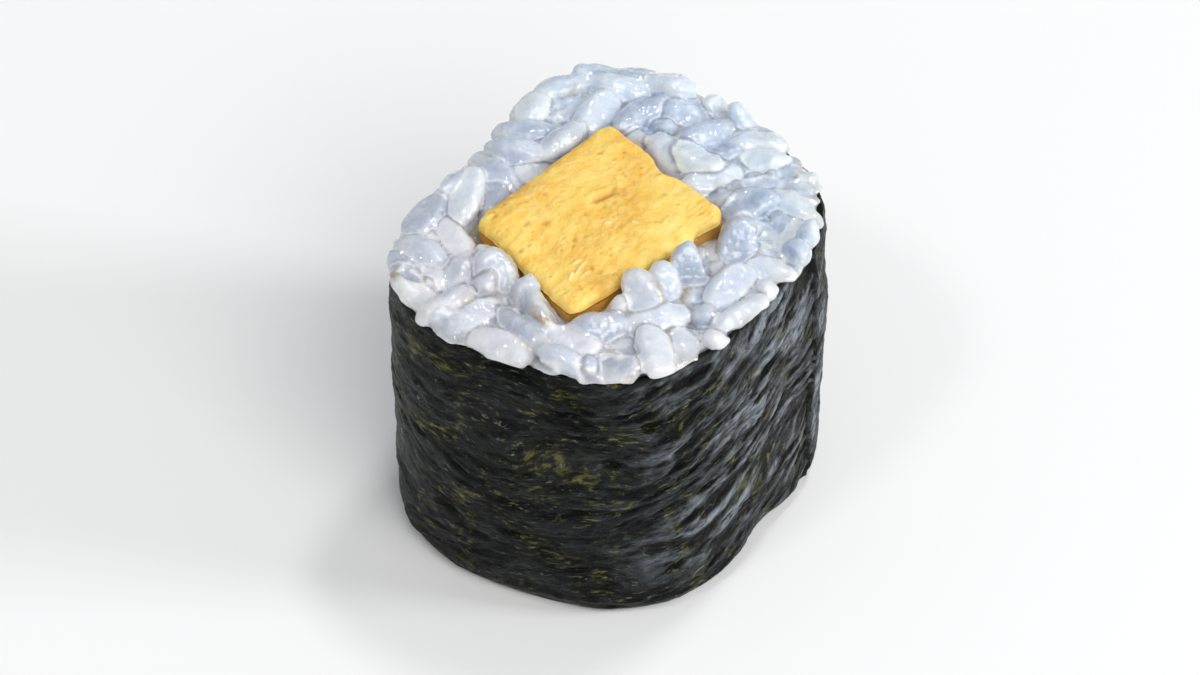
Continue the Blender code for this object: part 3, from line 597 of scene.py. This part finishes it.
def height_at(x, y, middles, axes, lengths, widths):
    """The top of the grains over a spot, or a low value where none lies."""
    reach = (lengths - widths)[:, None] / 2 * (-1, -0.5, 0, 0.5, 1)
    balls = middles[:, None] + axes[:, None] * reach[..., None]
    far = np.hypot(balls[..., 0] - x, balls[..., 1] - y)
    ball = widths[:, None] * GRAIN_BALL
    return np.where(far < ball, balls[..., 2] + np.sqrt(np.clip(ball**2 - far**2, 0, None)), NO_GRAIN).max()


def joined(grains, more):
    """Two sets of grains, each as middles, axes, lengths and widths, as one set."""
    return tuple(np.concatenate([one, other]) for one, other in zip(grains, more))


def leaning_grains():
    """The grains that lean on the stick."""
    rows = []
    for x, y, z, long, wide, turn, tilt in LEANING_GRAINS:
        turn, tilt = math.radians(turn), math.radians(tilt)
        heart = Vector((x * MM, y * MM, z * MM - RICE_TOP)) - ROLL_AXIS
        axis = (math.cos(turn) * math.cos(tilt), math.sin(turn) * math.cos(tilt), math.sin(tilt))
        rows.append((*heart, *axis, long * MM, wide * MM))
    rows = np.array(rows)
    return rows[:, :3], rows[:, 3:6], rows[:, 6], rows[:, 7]


def with_rim(draw, grains):
    """The grains with more laid over the rim of the nori, wherever none covers it."""
    for angle in np.radians(np.arange(0, 360, RIM_STEP)):
        reach = float(wall_radius(angle, NORI_TOP)) + RIM_COVER
        rim = float(rim_height(angle)) - RICE_TOP
        if height_at(reach * math.cos(angle), reach * math.sin(angle), *grains) > rim + RIM_COVERED:
            continue
        long, wide = draw.uniform(*GRAIN_LENGTH), draw.uniform(*RIM_WIDTH) * MM
        heading, tilt = angle + math.pi / 2 + draw.normal(0, RIM_HEADING), draw.normal(0, RIM_TILT)
        axis = (math.cos(heading) * math.cos(tilt), math.sin(heading) * math.cos(tilt), math.sin(tilt))
        back = reach - wide * draw.uniform(*RIM_BACK)
        middle = (back * math.cos(angle), back * math.sin(angle), rim + wide * draw.uniform(*RIM_UP))
        grains = joined(grains, ([middle], [axis], [long], [wide]))
    return grains


def with_fill(draw, grains):
    """The grains with shorter ones sunk where the face lies low."""
    added = 0
    for _ in range(FILL_TRIES):
        angle, share = draw.uniform(0, 2 * math.pi), draw.random()
        out = (FILL_FROM + FILL_REACH * share) * float(wall_radius(angle, NORI_TOP))
        x, y = out * math.cos(angle), out * math.sin(angle)
        if max(normal @ (x, y) - offset for normal, offset in egg_sides()) < FILL_FROM_STICK:
            continue
        if height_at(x, y, *grains) > (FILL_BELOW if share < FILL_RIM else FILL_RIM_BELOW):
            continue
        wide = draw.uniform(*FILL_WIDTH) * MM
        axis = draw.normal(size=3)
        axis /= np.linalg.norm(axis)
        long = wide * draw.uniform(*FILL_STRETCH)
        half = abs(axis[2]) * (long - wide) / 2 + wide / 2
        middle = (x, y, draw.uniform(*FILL_SINK) * MM - half)
        grains = joined(grains, ([middle], [axis], [long], [wide]))
        added += 1
        if added == FILL_GRAINS:
            break
    return grains


def face_grains(draw, face, seed, press, crown, uneven):
    """All the grains of one cut face, as middles, axes, lengths and widths."""
    middles, axes, lengths, widths = settled_grains(seed, press, crown, uneven)
    grains = (middles, axes, lengths * DRAWN_OUT, widths * SLIMMER)
    if face == "top":
        leaning = leaning_grains()
        nearest = np.linalg.norm(middles[:, None] - leaning[0][None], axis=2).min(axis=1)
        grains = joined([part[nearest > LEANING_ROOM] for part in grains], leaning)
    middles, axes, lengths, widths = with_fill(draw, with_rim(draw, grains))
    if face == "top":
        middles[:, 2] += RICE_TOP
    else:
        middles[:, 2] *= -1
        axes[:, 2] *= -1
    return middles, axes, lengths, widths


def grain_turns(draw, axes, upward):
    """How each grain is turned, with its flat side more or less towards the cut."""
    turns = []
    for axis in axes:
        axis = Vector(axis)
        flat_side = upward - axis * axis.dot(upward)
        flat_side = flat_side.normalized() if flat_side.length > 0.2 else axis.orthogonal().normalized()
        flat_side.rotate(Matrix.Rotation(draw.normal(0, FLAT_SIDE_SPREAD), 3, axis))
        turns.append(Matrix((flat_side.cross(axis), flat_side, axis)).transposed().to_euler())
    return np.array(turns)


def finished(piece):
    """Makes what a piece's modifiers give its own plain mesh."""
    mesh = bpy.data.meshes.new_from_object(piece.evaluated_get(bpy.context.evaluated_depsgraph_get()))
    piece.modifiers.clear()
    piece.data = mesh


def melted_grains(name, draw, face, grains):
    """The grains laid over their bed and run together where they touch, as one closed piece."""
    middles, axes, lengths, widths = grains
    points, faces = ring_points(*RICE_BED[face])
    piece = new_piece(name, np.concatenate([points, middles]), faces, rice_cooked)
    turns = grain_turns(draw, axes, Vector((0, 0, 1 if face == "top" else -1)))
    for label, kind, field, values in (
        ("is_grain", "BOOLEAN", "value", np.ones(len(middles), bool)),
        ("grain_form", "INT", "value", draw.integers(0, GRAIN_FORMS, len(middles))),
        ("grain_turn", "FLOAT_VECTOR", "vector", turns),
        ("grain_size", "FLOAT_VECTOR", "vector", np.stack([widths, widths, lengths], axis=1) / 2 + MELT),
    ):
        values = np.concatenate([np.zeros((len(points),) + values.shape[1:], values.dtype), values])
        piece.data.attributes.new(label, kind, "POINT").data.foreach_set(field, values.ravel())
    laid = piece.modifiers.new("grains", "NODES")
    laid.node_group = grains_at_points(draw)
    given = {"Rings": GRAIN_RINGS, "Sides": GRAIN_SIDES, "Flatness": GRAIN_FLATNESS}
    for socket in laid.node_group.interface.items_tree:
        if socket.in_out == "INPUT" and socket.name in given:
            laid[socket.identifier] = given[socket.name]
    melt = piece.modifiers.new("melt", "REMESH")
    melt.mode = "VOXEL"
    melt.voxel_size = STICKY_GAP[face]
    melt.use_smooth_shade = True
    soften = piece.modifiers.new("soften", "SMOOTH")
    soften.factor = 0.5
    soften.iterations = 2
    finished(piece)
    if not piece.data.materials:
        piece.data.materials.append(rice_cooked)
    return piece


def evened(values, edges):
    """Values at points, each drawn again and again towards the mean of its neighbours."""
    one, two = edges.T
    size = len(values)
    count = np.bincount(edges.ravel(), minlength=size)
    for _ in range(PRESS_ROUNDS):
        around = np.bincount(one, values[two], size) + np.bincount(two, values[one], size)
        values = (values + around / count) / 2
    return values


def pressed_points(mesh, seed):
    """The mesh's points where knife, hand and nori press them: flatter, dented, and held in by the wall."""
    points, normals = np.empty(len(mesh.vertices) * 3), np.empty(len(mesh.vertices) * 3)
    mesh.vertices.foreach_get("co", points)
    mesh.vertices.foreach_get("normal", normals)
    edges = np.empty(len(mesh.edges) * 2, int)
    mesh.edges.foreach_get("vertices", edges)
    points, normals = points.reshape(-1, 3), normals.reshape(-1, 3)
    points -= normals * MELT
    level = evened(points[:, 2], edges.reshape(-1, 2))
    shallow = np.clip(np.abs(normals[:, 2]) * 1.6, 0, 1)
    points[:, 2] += (level - points[:, 2]) * PRESSED_FLAT * shallow
    points += normals * (DENT_DEPTH * soft_noise(points / DENT_SIZE, 3, seed))[:, None]
    angle = np.arctan2(points[:, 1], points[:, 0])
    waver, size, lower, soft = RICE_EDGE
    edge_line = rim_height(angle) + waver * soft_noise(points * (1, 1, 0) / size, 2, seed + 3) - lower
    over = np.clip((points[:, 2] - edge_line) / soft, 0, 1)
    limit = wall_radius(angle, points[:, 2]) - WALL_GAP + over * over * (3 - 2 * over) * RIM_SPILL
    out = np.hypot(points[:, 0], points[:, 1])
    spill = np.clip((out - limit + WALL_SOFT) / (2 * WALL_SOFT), 0, None)
    held = np.where(spill > 0, limit - WALL_SOFT + (1 - np.exp(-spill)) * WALL_SOFT, out)
    points[:, :2] *= (held / out)[:, None]
    points[:, 2] = np.maximum(points[:, 2], 0)
    return points


def grain_marks(draw, points, grains, face):
    """For each point: its grain's tint with a painted glow near its edge, a painted highlight or painted
    shade at grain edges, and painted shade by how deep in a gap it lies.

    A spot's depth is 1 on a grain's surface. Two grains that are about as deep there meet in a seam.
    """
    middles, axes, lengths, widths = grains
    tints = draw.random(len(middles))
    tint_and_glow_of, painted_edge_of, gap_shade_of = np.empty(len(points)), np.empty(len(points)), np.empty(len(points))
    tops = middles[:, 2] * (1 if face == "top" else -1)
    for start in range(0, len(points), MARKED_AT_ONCE):
        part = slice(start, start + MARKED_AT_ONCE)
        away = points[part, None] - middles[None]
        along = (away * axes[None]).sum(2)
        across = np.linalg.norm(away - along[..., None] * axes[None], axis=2)
        depth = np.hypot(along / (lengths / 2), across / (widths / 2))
        order = np.argpartition(depth, 1, axis=1)[:, :2]
        two = np.take_along_axis(depth, order, axis=1)
        first = two.argmin(axis=1)
        here = np.arange(len(first))
        upper = (tops[order] + order * 1e-9).argmax(axis=1)
        step = tops[order[here, upper]] - tops[order[here, 1 - upper]]
        inward = two[here, 1 - upper] - two[here, upper]
        # A painted highlight just inside the upper grain's edge, and painted shade just inside the lower
        # one's.
        light, shade = (np.exp(-(((inward - far) / wide) ** 2)) for far, wide in (EDGE_LIGHT, EDGE_SHADE))
        painted_edge_of[part] = np.clip(step / EDGE_STEP, EDGE_LEAST, 1) * (light - shade)
        # Painted glow: paler near a grain's edge, as light comes through thin edges.
        painted_glow = np.exp(-((inward / RIM_WIDE) ** 2))
        tint_and_glow_of[part] = np.clip(OWN_TINT * tints[order[here, first]] + PAINTED_RIM_GLOW * painted_glow, 0, 1)
        # Painted shade by how far into a gap between grains a point lies.
        gap_shade_of[part] = np.clip((two.min(axis=1) - 1.0) / GAP_WIDE, 0, 1)
    return {"tint_and_painted_glow": tint_and_glow_of, "painted_edge_light_shade": painted_edge_of, "painted_gap_shade": gap_shade_of}


def pressed_rice(name, face, seed, press, crown, uneven):
    """The grains of one cut face melted together where they touch, over a bed of packed rice."""
    draw = np.random.default_rng(seed + 1)
    grains = face_grains(draw, face, seed, press, crown, uneven)
    piece = melted_grains(name, draw, face, grains)
    points = pressed_points(piece.data, seed)
    for mark, values in grain_marks(draw, points, grains, face).items():
        store(piece, mark, values)
    points[:, :2] += AXIS_XY
    piece.data.vertices.foreach_set("co", points.ravel())
    piece.data.update()
    thin = piece.modifiers.new("thin", "DECIMATE")
    thin.ratio = min(1, RICE_TRIANGLES / sum(len(polygon.vertices) - 2 for polygon in piece.data.polygons))
    finished(piece)
    return piece


rice_upper = pressed_rice("rice_upper", "top", GRAIN_SEED_TOP, 0.0, RICE_CROWN, RICE_UNEVEN)
rice_lower = pressed_rice("rice_lower", "foot", GRAIN_SEED_FOOT, FOOT_PRESS, 0.0, 0.0)
points, faces = ring_points(GRAIN_SLAB, RICE_TOP - GRAIN_SLAB, rows=8)
points[:, :2] += AXIS_XY
rice_core = new_piece("rice_core", points, faces, rice_cooked)
store(rice_core, "tint_and_painted_glow", np.full(len(points), 0.5))
store(rice_core, "painted_edge_light_shade", np.zeros(len(points)))
for piece in (rice_upper, rice_lower, rice_core):
    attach(piece, "root")
    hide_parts("rice")

# The nori.
# A sheet of pressed, toasted laver wrapped once round the rice with its free edge lapped on the right.
# Damp from the rice has drawn it into fine creases, whose crests catch the light and also carry a painted
# blue-grey sheen, most on the front right.
CREASES = ((5, 1.6, 0.07, 20), (9, -2.3, 0.05, 140), (14, 3.1, 0.04, 250))  # round, up, height in mm, start
RIDGED, FOLDED, FINE, SPECKED, PITTED = 0.09, 0.12, 0.05, 0.03, 0.5  # mm: how far each kind of crease stands
LAP_EDGE, LAP_TURN, LAP_END_TURN = -9, 38, 7  # degrees: the free edge, and where the lap under it starts
LAP_SLIT, LAP_LIFT = 0.25, 0.05 * MM  # degrees between the sheet's two ends, and how far the free edge lifts
LAID_RADIUS = 14.3  # mm: the radius at which the sheet's pattern is laid out flat
NORI_COLUMNS, NORI_ROWS, NORI_BACK_ROWS = 620, 128, 6
NORI_RAGGED = 0.16 * MM
LAP_WAVER = ((0.012, 0.9, 0), (0.007, 2.7, 1))  # radians, radians for each mm up, start
CREASE_CLIMB, CREASE_START = 0.34, 5  # how steeply creases climb on the right, and after how many mm
CREASE_ROLL, CREASE_ROLL_SIZE = 0.5, 9  # mm: how they wander on the left
DRIFT, DRIFT_SIZE = 1.6, (9, 7)  # mm
CREST = 0.1  # mm: how high a crest stands that is marked 1
SHEEN_AT, SHEEN_SPREAD = -34, 68  # degrees: where the painted sheen on the crests is strongest, and how far it spreads
SHEEN_LEAST, SHEEN_MORE = 0.07, 2.2  # painted sheen: how grey the crests are painted everywhere, and how much more where it is strongest
BACK_UP = 40  # mm by which the pattern is moved up on the sheet's inner side


def sheet_flow(turn, share):
    """Where each spot lies along the sheet, and across it in the direction of its creases, in mm."""
    along = turn * LAID_RADIUS
    tall = share * NORI_TOP / MM
    ahead = along - math.radians(270 - LAP_EDGE) * LAID_RADIUS
    climb = CREASE_CLIMB * ahead**2 / (np.abs(ahead) + CREASE_START)
    rise = np.where(ahead > 0, climb, CREASE_ROLL * np.sin(ahead / CREASE_ROLL_SIZE))
    wide, high = DRIFT_SIZE
    spots = np.stack([along.ravel() / wide, tall.ravel() / high, np.zeros(turn.size)], axis=1)
    drift = soft_noise(spots, 2, 17)
    return along, tall - rise + DRIFT * drift.reshape(turn.shape)


def sheet_relief(along, flow):
    """How far the fine creases stand out in mm. Each noise is divided by its size along and across them."""
    spots = np.stack([along.ravel(), flow.ravel(), np.zeros(flow.size)], axis=1)
    ridges = 1 - 2.2 * np.abs(soft_noise(spots / (6.0, 1.7, 1), 2, 11))
    folds = soft_noise(spots / (3.0, 0.95, 1), 2, 12)
    fine = 0.8 - 2.4 * np.abs(soft_noise(spots / (1.5, 0.62, 1), 3, 13))
    pits = np.clip(soft_noise(spots / (2.3, 0.6, 1), 1, 14) - 0.26, 0, None)
    specks = soft_noise(spots / (0.75, 0.33, 1), 2, 16)
    relief = RIDGED * ridges + FOLDED * folds + FINE * fine + SPECKED * specks - PITTED * pits
    return relief.reshape(flow.shape)


nori_toasted, tree, shader = new_material("toasted_nori_sheet")
# Pressed seaweed: almost black, with olive flecks where the sheet is thin, satin gloss and a painted
# blue-grey sheen on the raised creases, painted shade in deep hollows and fibre cracks.
sheet_mm = add(tree, "ShaderNodeUVMap", uv_map="sheet_mm").outputs["UV"]
crest = add(tree, "ShaderNodeAttribute", attribute_name="crest").outputs["Fac"]
stretched = add(tree, "ShaderNodeMapping", {"Scale": (0.35, 1.3, 1)}, {"Vector": sheet_mm})
pulp = add(tree, "ShaderNodeTexNoise", {"Scale": 1.0, "Detail": 5, "Roughness": 0.62},
           {"Vector": stretched.outputs[0]})
dark = add(tree, "ShaderNodeValToRGB", links={"Fac": pulp.outputs["Fac"]},
           stops=((0.30, "#060802"), (0.72, "#2C3020"), (0.5, "#13160B")))
small = add(tree, "ShaderNodeMapping", {"Scale": (1.1, 2.9, 1)}, {"Vector": sheet_mm})
fleck = add(tree, "ShaderNodeTexNoise", {"Scale": 1.0, "Detail": 5, "Roughness": 0.72},
            {"Vector": small.outputs[0]})
where = add(tree, "ShaderNodeTexNoise", {"Scale": 0.30, "Detail": 5, "Roughness": 0.7}, {"Vector": sheet_mm})
both = add(tree, "ShaderNodeMath", {1: 1.25}, {0: where.outputs["Fac"], 2: fleck.outputs["Fac"]},
           operation="MULTIPLY_ADD")
thin = add(tree, "ShaderNodeMapRange", {"From Min": 1.215, "From Max": 1.33, "To Max": 0.9},
           {"Value": both.outputs[0]})
patch = add(tree, "ShaderNodeMapping", {"Scale": (0.13, 0.24, 1)}, {"Vector": sheet_mm})
patches = add(tree, "ShaderNodeTexNoise", {"Scale": 1.0, "Detail": 3}, {"Vector": patch.outputs[0]})
shade = add(tree, "ShaderNodeValToRGB", links={"Fac": patches.outputs["Fac"]},
            stops=((0.34, "#6E7A5C"), (0.66, "#FFFFFF"), (0.45, "#9C8B78"), (0.56, "#C9CEC4")))
toned = add(tree, "ShaderNodeMix", {"Factor": 1.0}, {"A": dark.outputs["Color"], "B": shade.outputs["Color"]},
            data_type="RGBA", blend_type="MULTIPLY")
olive = add(tree, "ShaderNodeMix", {"B": linear("#85853F")}, {
    "Factor": thin.outputs["Result"], "A": toned.outputs["Result"]}, data_type="RGBA")
crests = add(tree, "ShaderNodeMapRange", {"From Min": -0.1, "From Max": 1.9}, {"Value": crest},
             interpolation_type="SMOOTHSTEP")
# Painted sheen: crests painted blue-grey, most on the front right and less near the foot.
sheen_patches = add(tree, "ShaderNodeMapRange", {"From Min": 0.36, "From Max": 0.62, "To Min": 0.25},
          {"Value": patches.outputs["Fac"]})
sheen_side = add(tree, "ShaderNodeAttribute", attribute_name="painted_sheen").outputs["Fac"]
sheen_share = add(tree, "ShaderNodeMath", links={0: sheen_patches.outputs["Result"], 1: sheen_side}, operation="MULTIPLY")
high = add(tree, "ShaderNodeMath", links={0: crests.outputs["Result"], 1: sheen_share.outputs[0]},
           operation="MULTIPLY")
painted_crest_sheen = add(tree, "ShaderNodeMix", {"B": linear("#AEB8C2")}, {
    "Factor": high.outputs[0], "A": olive.outputs["Result"]}, data_type="RGBA")
# Painted shade: the deepest hollows of the creases are painted near black.
low = add(tree, "ShaderNodeMapRange", {"From Min": -0.3, "From Max": -1.6, "To Max": 0.9}, {"Value": crest})
painted_hollow_shade = add(tree, "ShaderNodeMix", {"B": linear("#030402")}, {
    "Factor": low.outputs["Result"], "A": painted_crest_sheen.outputs["Result"]}, data_type="RGBA")
long = add(tree, "ShaderNodeMapping", {"Scale": (0.45, 1.9, 1), "Rotation": (0, 0, 0.12)},
           {"Vector": sheet_mm})
strand = add(tree, "ShaderNodeTexNoise", {"Scale": 1.0, "Detail": 2, "Distortion": 0.6},
             {"Vector": long.outputs[0]})
level = add(tree, "ShaderNodeMath", {1: 0.5}, {0: strand.outputs["Fac"]}, operation="SUBTRACT").outputs[0]
thread = add(tree, "ShaderNodeMath", links={0: level}, operation="ABSOLUTE").outputs[0]
line = add(tree, "ShaderNodeMapRange", {"From Min": 0.016, "From Max": 0.004, "To Max": 1.0},
           {"Value": thread})
broken = add(tree, "ShaderNodeMapRange", {"From Min": 0.48, "From Max": 0.62, "To Max": 0.75},
             {"Value": fleck.outputs["Fac"]})
hair = add(tree, "ShaderNodeMath", links={0: line.outputs["Result"], 1: broken.outputs["Result"]},
           operation="MULTIPLY")
haired = add(tree, "ShaderNodeMix", {"B": linear("#B2B89C")}, {
    "Factor": hair.outputs[0], "A": painted_hollow_shade.outputs["Result"]}, data_type="RGBA")
# Painted shade in the cracks between fibres, lighter on their raised parts, from the same noise as the bump.
fibres = add(tree, "ShaderNodeMapping", {"Scale": (0.8, 2.3, 1)}, {"Vector": sheet_mm})
fibre = add(tree, "ShaderNodeTexNoise", {"Scale": 1.0, "Detail": 6, "Roughness": 0.72, "Distortion": 0.5},
            {"Vector": fibres.outputs[0]})
painted_crack_shade = add(tree, "ShaderNodeValToRGB", links={"Fac": fibre.outputs["Fac"]},
             stops=((0.38, "#505050"), (0.62, "#FFFFFF"), (0.46, "#B4B4B4"), (0.54, "#DCDCDC")))
crack_shaded = add(tree, "ShaderNodeMix", {"Factor": 1.0},
              {"A": haired.outputs["Result"], "B": painted_crack_shade.outputs["Color"]},
              data_type="RGBA", blend_type="MULTIPLY")
tree.links.new(crack_shaded.outputs["Result"], shader.inputs["Base Color"])
gloss = add(tree, "ShaderNodeMapRange", {"From Min": 0.3, "From Max": 0.7, "To Min": 0.24, "To Max": 0.46},
            {"Value": pulp.outputs["Fac"]})
tree.links.new(gloss.outputs["Result"], shader.inputs["Roughness"])
bump = add(tree, "ShaderNodeBump", {"Strength": 1.0, "Distance": 1.0 * MM}, {"Height": fibre.outputs["Fac"]})
tree.links.new(bump.outputs["Normal"], shader.inputs["Normal"])
give(shader, {"IOR": 1.45, "Specular IOR Level": 0.16, "Specular Tint": linear("#DDE6F5"),
    "Coat Weight": 0.15, "Coat Roughness": 0.16, "Coat IOR": 1.5})
tree.links.new(bump.outputs["Normal"], shader.inputs["Coat Normal"])


def nori_sheet():
    """The sheet as one closed wall that starts under its own free edge, creased outside and plain inside."""
    turn = np.linspace(0, 2 * math.pi, NORI_COLUMNS, endpoint=False)
    turn = np.append(turn, 2 * math.pi - math.radians(LAP_SLIT))
    share, turn = np.meshgrid(np.linspace(0, 1, NORI_ROWS + 1), turn, indexing="ij")
    tall = share * NORI_TOP / MM
    along, flow = sheet_flow(turn, share)
    relief = sheet_relief(along, flow) * np.clip(share / 0.03, 0, 1) * np.clip((1 - share) / 0.02, 0.3, 1)
    waver = sum(size * np.sin(tall * rate + start) for size, rate, start in LAP_WAVER)
    angle = math.radians(LAP_EDGE) + turn + waver * np.exp(-np.minimum(turn, 2 * math.pi - turn) / 0.06)
    rim = angle[-1]
    ragged = soft_noise(np.stack([np.cos(rim) * 9, np.sin(rim) * 9, 0 * rim], axis=1), 3, 15)
    height = share * (rim_height(angle) + NORI_RAGGED * ragged[None])
    inside = wall_radius(angle, height)
    crease = sum(
        tall_mm * (1 + np.cos(count * angle + 2 * math.pi * climb * share + math.radians(start)))
        for count, climb, tall_mm, start in CREASES
    ) * np.clip(share / 0.06, 0, 1) * np.clip((1 - share) / 0.06, 0, 1) * MM
    lap = NORI_THICKNESS * np.clip((math.radians(LAP_TURN) - turn) / math.radians(LAP_END_TURN), 0, 1)
    lifted = LAP_LIFT * np.exp(-turn / 0.02) * np.clip(share * 3, 0, 1)
    outside = inside + NORI_THICKNESS + lap + crease + lifted + relief * MM
    front = np.stack([outside * np.cos(angle), outside * np.sin(angle), height], axis=2)
    rows = np.linspace(0, NORI_ROWS, NORI_BACK_ROWS + 1).astype(int)[::-1]
    back = np.stack([inside * np.cos(angle), inside * np.sin(angle), height], axis=2)[rows]
    points = np.concatenate([front, back])
    faces = ring_faces(*points.shape[:2])
    points = points.reshape(-1, 3)
    points[:, :2] += AXIS_XY
    sheet = new_piece("nori_sheet", points, faces, nori_toasted)
    plain = np.zeros(back.size // 3)
    store(sheet, "crest", np.concatenate([(relief / CREST).ravel(), plain]))
    # Painted sheen: strongest on the front right, weaker near the foot.
    painted_sheen = SHEEN_LEAST + SHEEN_MORE * near_angle(angle, SHEEN_AT, SHEEN_SPREAD) * np.clip(share / 0.3, 0.4, 1)
    store(sheet, "painted_sheen", np.concatenate([painted_sheen.ravel(), plain]))
    lay = np.stack([along, flow], axis=2)
    lay = np.concatenate([lay, lay[rows] + (0, BACK_UP)]).reshape(-1, 2)
    corner = np.empty(len(sheet.data.loops), int)
    sheet.data.loops.foreach_get("vertex_index", corner)
    sheet.data.uv_layers.new(name="sheet_mm").data.foreach_set("uv", lay[corner].astype(np.float32).ravel())
    return sheet


sheet = nori_sheet()
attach(sheet, "root")
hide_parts("nori")

# The table, the light and the camera.
# A plain pale table top. One broad soft light stands high in front, a little to the right, with soft light
# all round, and three small lights give the wet rice its glints.
TABLE_REACH = 1.5  # metres from the middle to each edge
LIGHTS = (  # name, place in metres, width in metres, watts, colour
    ("soft_box", (0.45, -0.85, 1.02), 0.95, 11.6, (1.0, 0.985, 0.96)),
    ("window_above", (0.25, 0.30, 1.05), 0.15, 2.3, (1.0, 1.0, 1.0)),
    ("window_right", (0.95, -0.12, 0.40), 0.22, 4.8, (0.97, 0.98, 1.0)),
    ("window_left", (-0.50, -0.45, 0.95), 0.14, 1.3, (1.0, 1.0, 1.0)),
)
LIT_SPOT = Vector((0, 0, 0.012))  # every light points at the middle of the piece
ROOM_COLOUR, ROOM_STRENGTH = (0.93, 0.96, 1.0, 1), 0.34
SENSOR = 36  # mm
PHOTO_LENS, PHOTO_TILT = 2250.0, 43.0  # the photograph's lens in its own pixels, and its tilt below level
PHOTO_MIDDLE, PIECE_MIDDLE = (600, 337.5), (640, 450)  # pixels
SEEN_WIDTH = 700  # the part of the photograph's 1200 pixel width that this picture shows
CAMERA_PLACE = (-0.00549, -0.18763, 0.20556)

pale, tree, shader = new_material("plain_pale_table_top")
# Matt painted board: it takes soft shadows and shows no reflection of the piece.
give(shader, {"Base Color": linear("#F1F1F1"), "Roughness": 0.7, "Specular IOR Level": 0.2})
corners = [(x * TABLE_REACH, y * TABLE_REACH, 0) for x, y in ((-1, -1), (1, -1), (1, 1), (-1, 1))]
table_top = new_piece("table_top", corners, [(0, 1, 2, 3)], pale)

world = bpy.data.worlds.new("soft_room")
bpy.context.scene.world = world
world.use_nodes = True
give(world.node_tree.nodes["Background"], {"Color": ROOM_COLOUR, "Strength": ROOM_STRENGTH})
for name, place, width, power, colour in LIGHTS:
    lamp = bpy.data.lights.new(name, "AREA")
    lamp.size = width
    lamp.energy = power
    lamp.color = colour
    holder = bpy.data.objects.new(name, lamp)
    bpy.context.scene.collection.objects.link(holder)
    holder.location = place
    holder.rotation_euler = (LIT_SPOT - Vector(place)).to_track_quat("-Z", "Y").to_euler()

lens = bpy.data.cameras.new("camera")
lens.lens = SENSOR * PHOTO_LENS / SEEN_WIDTH
lens.clip_start = 0.01
camera = bpy.data.objects.new("camera", lens)
bpy.context.scene.collection.objects.link(camera)
camera.location = CAMERA_PLACE
level = math.radians(PHOTO_TILT)
ahead = Vector((0, math.cos(level), -math.sin(level)))
up = Vector((0, math.sin(level), math.cos(level)))
right_px, down_px = PIECE_MIDDLE[0] - PHOTO_MIDDLE[0], PIECE_MIDDLE[1] - PHOTO_MIDDLE[1]
aim = ahead * PHOTO_LENS + Vector((1, 0, 0)) * right_px - up * down_px
camera.rotation_mode = "QUATERNION"
camera.rotation_quaternion = ahead.rotation_difference(aim) @ ahead.to_track_quat("-Z", "Y")
bpy.context.scene.camera = camera
bpy.context.scene.view_settings.view_transform = "Standard"
